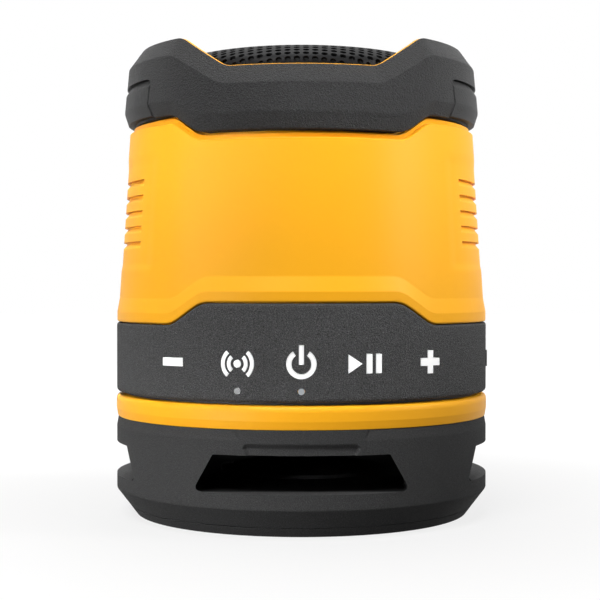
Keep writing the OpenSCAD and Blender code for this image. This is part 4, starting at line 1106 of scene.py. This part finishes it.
def make_chassis():
    """The lower closing part: its rim is the accent ring, its spigot stands in the shell."""
    hole_margin = 5
    floor_rise = 2.3
    rim_lean = 0.4
    rim_lean_h = 2.3
    spigot_t = 4
    spigot_h = 2.4
    hole_r = highest("radiator_plate").x + hole_margin
    floor_top_z = foot_top_z + floor_rise
    spigot_r = shell_inner_r - fit_gap
    spigot_inner_r = spigot_r - spigot_t
    spigot_top_z = ring_top_z + spigot_h
    corners = [
        (hole_r, ring_low_z, 0.3), (body_r - rim_lean, ring_low_z, 0.3),
        (body_r, ring_low_z + rim_lean_h, 1.2), (body_r, ring_top_z, 1.7), (spigot_r, ring_top_z, 0.2),
        (spigot_r, spigot_top_z, 0.3), (spigot_inner_r, spigot_top_z, 0.3),
        (spigot_inner_r, floor_top_z, 0.3), (hole_r, floor_top_z, 0.3)]
    dress(shade(turned("accent_ring", corners)), "yellow_shell", replaces=["lower_chassis"])


# Perforated dome

hole_pitch = 2.55
hole_d = 1.85
hole_sides = 16
grille_t = 0.8
# The pressed sheet: a crown, a bend and a rolled shoulder, with the tilts where they meet
crown_tilt = 3
bend_r = 31.0
shoulder_tilt = 32
shoulder_r = 3.2
shoulder_rise = 0.5
# Distance of the foremost row of holes from the sheet's edge
front_row = 1.3
weld = 0.01


def on_arc(r, tilt):
    """Way from an arc's centre to where the sheet has a tilt in degrees."""
    t = np.radians(tilt)
    return np.stack([r * np.sin(t), r * np.cos(t)], -1)


def dome_profile():
    """Radius and height of the pressed sheet by the distance from its middle, along the sheet."""
    shoulder_centre = np.array([grille_r - shoulder_r, rim_front_z + shoulder_rise])
    bend_centre = shoulder_centre + on_arc(shoulder_r - bend_r, shoulder_tilt)
    crown_r = (bend_centre[0] + on_arc(bend_r, crown_tilt)[0]) / math.sin(math.radians(crown_tilt))
    crown_centre = bend_centre + on_arc(bend_r - crown_r, crown_tilt)
    points = np.concatenate([
        crown_centre + on_arc(crown_r, np.linspace(0, crown_tilt, 60)),
        bend_centre + on_arc(bend_r, np.linspace(crown_tilt, shoulder_tilt, 60)[1:]),
        shoulder_centre + on_arc(shoulder_r, np.linspace(shoulder_tilt, 90, 60)[1:])])
    lengths = np.concatenate([[0], np.cumsum(np.linalg.norm(np.diff(points, axis=0), axis=1))])
    return lengths, points


def make_hole_cell():
    """One square of sheet round a hole."""
    angles = np.radians(np.arange(hole_sides) * 360 / hole_sides)
    reach = np.maximum(np.abs(np.cos(angles)), np.abs(np.sin(angles)))
    square = np.stack([np.cos(angles) / reach, np.sin(angles) / reach], 1) * hole_pitch / 2
    circle = np.stack([np.cos(angles), np.sin(angles)], 1) * hole_d / 2
    points = [(x, y, 0) for x, y in np.concatenate([circle, square])]
    faces = [(k, hole_sides + k, hole_sides + (k + 1) % hole_sides, (k + 1) % hole_sides)
             for k in range(hole_sides)]
    return add_object("hole_cell", points, faces)


def perforation_tree():
    """Copies one cell over a square grid, keeps what lies in the field and joins the cells."""
    tree = bpy.data.node_groups.new("perforated_sheet", "GeometryNodeTree")
    sockets = {}
    for kind, label in (("Float", "Pitch"), ("Int", "Rows"), ("Float", "Field Radius"), ("Vector", "Shift"),
                        ("Object", "Cell"), ("Material", "Finish")):
        socket = tree.interface.new_socket(label, in_out="INPUT", socket_type="NodeSocket" + kind)
        sockets[label] = socket.identifier
    tree.interface.new_socket("Geometry", in_out="OUTPUT", socket_type="NodeSocketGeometry")
    nodes = {}
    for label, kind in (("given", "NodeGroupInput"), ("result", "NodeGroupOutput"),
                        ("span", "ShaderNodeMath"), ("steps", "ShaderNodeMath"),
                        ("grid", "GeometryNodeMeshGrid"), ("shift", "GeometryNodeSetPosition"),
                        ("place", "GeometryNodeInputPosition"), ("length", "ShaderNodeVectorMath"),
                        ("outside", "FunctionNodeCompare"), ("keep", "GeometryNodeDeleteGeometry"),
                        ("cell", "GeometryNodeObjectInfo"), ("copies", "GeometryNodeInstanceOnPoints"),
                        ("real", "GeometryNodeRealizeInstances"), ("weld", "GeometryNodeMergeByDistance"),
                        ("finish", "GeometryNodeSetMaterial")):
        nodes[label] = tree.nodes.new(kind)
    nodes["steps"].operation = "SUBTRACT"
    nodes["steps"].inputs[1].default_value = 1
    nodes["span"].operation = "MULTIPLY"
    nodes["length"].operation = "LENGTH"
    nodes["outside"].operation = "GREATER_THAN"
    nodes["weld"].inputs["Distance"].default_value = weld * MM
    for source, out, target, into in (
            ("given", "Rows", "steps", 0), ("steps", 0, "span", 0), ("given", "Pitch", "span", 1),
            ("span", 0, "grid", "Size X"), ("span", 0, "grid", "Size Y"),
            ("given", "Rows", "grid", "Vertices X"), ("given", "Rows", "grid", "Vertices Y"),
            ("grid", "Mesh", "shift", "Geometry"), ("given", "Shift", "shift", "Offset"),
            ("shift", "Geometry", "keep", "Geometry"), ("place", 0, "length", 0),
            ("length", "Value", "outside", 0), ("given", "Field Radius", "outside", 1),
            ("outside", 0, "keep", "Selection"), ("keep", 0, "copies", "Points"),
            ("given", "Cell", "cell", "Object"), ("cell", "Geometry", "copies", "Instance"),
            ("copies", 0, "real", 0), ("real", 0, "weld", "Geometry"), ("weld", 0, "finish", "Geometry"),
            ("given", "Finish", "finish", "Material"), ("finish", 0, "result", 0)):
        tree.links.new(nodes[source].outputs[out], nodes[target].inputs[into])
    return tree, sockets


def press_dome(obj, lengths, profile):
    """Presses the flat sheet into its dome and trims it to its round edge."""
    flat = np.empty(len(obj.data.vertices) * 3)
    obj.data.vertices.foreach_get("co", flat)
    flat = flat.reshape(-1, 3) / MM
    reach = np.linalg.norm(flat[:, :2], axis=1)
    kept = np.minimum(reach, lengths[-1])
    r = np.interp(kept, lengths, profile[:, 0])
    z = np.interp(kept, lengths, profile[:, 1])
    turn = flat[:, :2] / np.maximum(reach, 1e-9)[:, None]
    points = np.column_stack([turn * r[:, None], z])
    obj.data.vertices.foreach_set("co", (points * MM).ravel())
    with editing(obj) as bm:
        past = [f for f in bm.faces if all(reach[v.index] > lengths[-1] - weld for v in f.verts)]
        bmesh.ops.delete(bm, geom=past, context="FACES")
        bmesh.ops.dissolve_degenerate(bm, edges=bm.edges, dist=2 * weld * MM)
        bmesh.ops.recalc_face_normals(bm, faces=bm.faces)
        if sum(f.normal.z for f in bm.faces) < 0:
            bmesh.ops.reverse_faces(bm, faces=bm.faces)


def make_grille():
    lengths, profile = dome_profile()
    corner_reach = 0.7 * hole_pitch
    spare_rows = 4
    field = lengths[-1] + corner_reach
    row_shift = (front_row - lengths[-1] + hole_pitch / 2) % hole_pitch
    cell = make_hole_cell()
    tree, sockets = perforation_tree()
    sheet = add_object("perforated_dome", [], [])
    mod = sheet.modifiers.new("perforations", "NODES")
    mod.node_group = tree
    values = {"Pitch": hole_pitch * MM, "Rows": 2 * math.ceil(field / hole_pitch) + spare_rows,
              "Field Radius": field * MM, "Shift": (0, row_shift * MM, 0), "Cell": cell,
              "Finish": FINISHES["grille_steel"]}
    for label, value in values.items():
        mod[sockets[label]] = value
    apply_modifiers(sheet)
    bpy.data.objects.remove(cell)
    press_dome(sheet, lengths, profile)
    thick = sheet.modifiers.new("thickness", "SOLIDIFY")
    thick.thickness = grille_t * MM
    thick.offset = -1
    apply_modifiers(sheet)
    inner_r = grille_r - grille_t
    skirt_top_z = profile[-1, 1]
    skirt = turned("skirt", [(inner_r, grille_low_z, 0.1), (grille_r, grille_low_z, 0.1),
                             (grille_r, skirt_top_z, 0), (inner_r, skirt_top_z, 0)])
    dress(shade(joined([sheet, skirt]), 50), "grille_steel", replaces=["grille"])


# Stage

camera_distance = 422.9
camera_height = 66.7
camera_pitch = -0.549
camera_turn = 0.057
camera_lens = 84.5
sensor_w = 36
fill_level = 0.08
floor_half = 3000
floor_drop = 0.2
floor_grey = 0.09
# The floor's glow to the eye, from close to the object to further away, over these distances
glow_levels = (0.82, 1.0)
glow_reach = (60, 220)


def make_camera():
    data = bpy.data.cameras.new("camera")
    data.lens = camera_lens
    data.sensor_width = sensor_w
    data.clip_start = 0.01
    camera = in_scene("camera", data)
    camera.location = Vector((0, -camera_distance, camera_height)) * MM
    camera.rotation_euler = (math.radians(90 + camera_pitch), 0, math.radians(camera_turn))
    bpy.context.scene.camera = camera


def seen_directly(tree):
    """1 for what the camera sees, direct, mirrored or through glass."""
    path = tree.nodes.new("ShaderNodeLightPath")
    seen = math_node(tree, "MAXIMUM", path.outputs["Is Camera Ray"], path.outputs["Is Glossy Ray"])
    return math_node(tree, "MAXIMUM", seen, path.outputs["Is Transmission Ray"])


def make_floor():
    """A pale floor, white to the eye away from the object and keeping its shadow close to it."""
    corners = [(x * floor_half, y * floor_half, -floor_drop) for x, y in ((-1, -1), (1, -1), (1, 1), (-1, 1))]
    floor = add_object("floor", corners, [(0, 1, 2, 3)])
    finish = Finish("floor_paper")
    tree = finish.tree
    finish.shader.inputs["Base Color"].default_value = (floor_grey, floor_grey, floor_grey, 1)
    finish.shader.inputs["Roughness"].default_value = 0.9
    finish.shader.inputs["Specular IOR Level"].default_value = 0.0
    away = tree.nodes.new("ShaderNodeVectorMath")
    away.operation = "LENGTH"
    tree.links.new(finish.place, away.inputs[0])
    lift = tree.nodes.new("ShaderNodeMapRange")
    for k, end in enumerate((" Min", " Max")):
        lift.inputs["From" + end].default_value = glow_reach[k] * MM
        lift.inputs["To" + end].default_value = glow_levels[k]
    tree.links.new(away.outputs["Value"], lift.inputs["Value"])
    glow = tree.nodes.new("ShaderNodeEmission")
    tree.links.new(math_node(tree, "MULTIPLY", seen_directly(tree), lift.outputs[0]), glow.inputs["Strength"])
    total = tree.nodes.new("ShaderNodeAddShader")
    tree.links.new(finish.shader.outputs[0], total.inputs[0])
    tree.links.new(glow.outputs[0], total.inputs[1])
    out = next(n for n in tree.nodes if n.type == "OUTPUT_MATERIAL")
    tree.links.new(total.outputs[0], out.inputs[0])
    floor.data.materials.append(finish.material)


def make_world():
    """White to the eye, with a weak fill light."""
    world = bpy.data.worlds.new("studio")
    bpy.context.scene.world = world
    world.use_nodes = True
    tree = world.node_tree
    tree.nodes.clear()
    out = tree.nodes.new("ShaderNodeOutputWorld")
    back = tree.nodes.new("ShaderNodeBackground")
    back.inputs["Color"].default_value = (1, 1, 1, 1)
    above_fill = math_node(tree, "MULTIPLY", seen_directly(tree), 1 - fill_level)
    strength = math_node(tree, "ADD", above_fill, fill_level)
    tree.links.new(strength, back.inputs["Strength"])
    tree.links.new(back.outputs[0], out.inputs[0])


def add_softbox(name, place, aim, size, power, spread):
    """A rectangular lamp at a place, turned to a point, with a spread in degrees."""
    data = bpy.data.lights.new(name, "AREA")
    data.shape = "RECTANGLE"
    data.size = size[0] * MM
    data.size_y = size[1] * MM
    data.energy = power
    data.spread = math.radians(spread)
    lamp = in_scene(name, data)
    lamp.location = Vector(place) * MM
    lamp.rotation_euler = (Vector(aim) - Vector(place)).to_track_quat("-Z", "Y").to_euler()


def make_lights():
    add_softbox("front_softbox", (-180, -500, 760), (0, 0, 60), (420, 320), 3.15, 120)
    add_softbox("left_softbox", (-460, -440, 45), (-30, -30, 12), (120, 60), 0.018, 9)
    add_softbox("collar_softbox", (-420, -440, 20), (-20, -35, 113), (120, 60), 0.016, 12)
    add_softbox("right_softbox", (640, -420, 560), (0, 0, 80), (260, 260), 0.11, 120)
    add_softbox("right_shell_softbox", (640, -260, 250), (54, -8, 88), (80, 80), 0.017, 16)
    add_softbox("left_shell_softbox", (-640, -260, 250), (-54, -8, 80), (80, 80), 0.014, 14)
    add_softbox("horn_softbox", (560, -120, 480), (45, -20, 160), (200, 120), 0.12, 24)
    add_softbox("top_softbox", (-60, 150, 700), (0, 0, 110), (400, 300), 0.4, 120)
    add_softbox("back_softbox", (0, 760, 230), (0, 0, 60), (420, 200), 1.2, 120)


bpy.context.scene.view_settings.view_transform = "Standard"
make_camera()
make_world()
make_floor()
make_lights()

dress_cad_nodes()
make_suspensions()
make_main_shell()
make_port_tray()
make_collar()
make_control_band()
make_port_door()
make_foot()
make_foot_ring()
make_chassis()
make_grille()
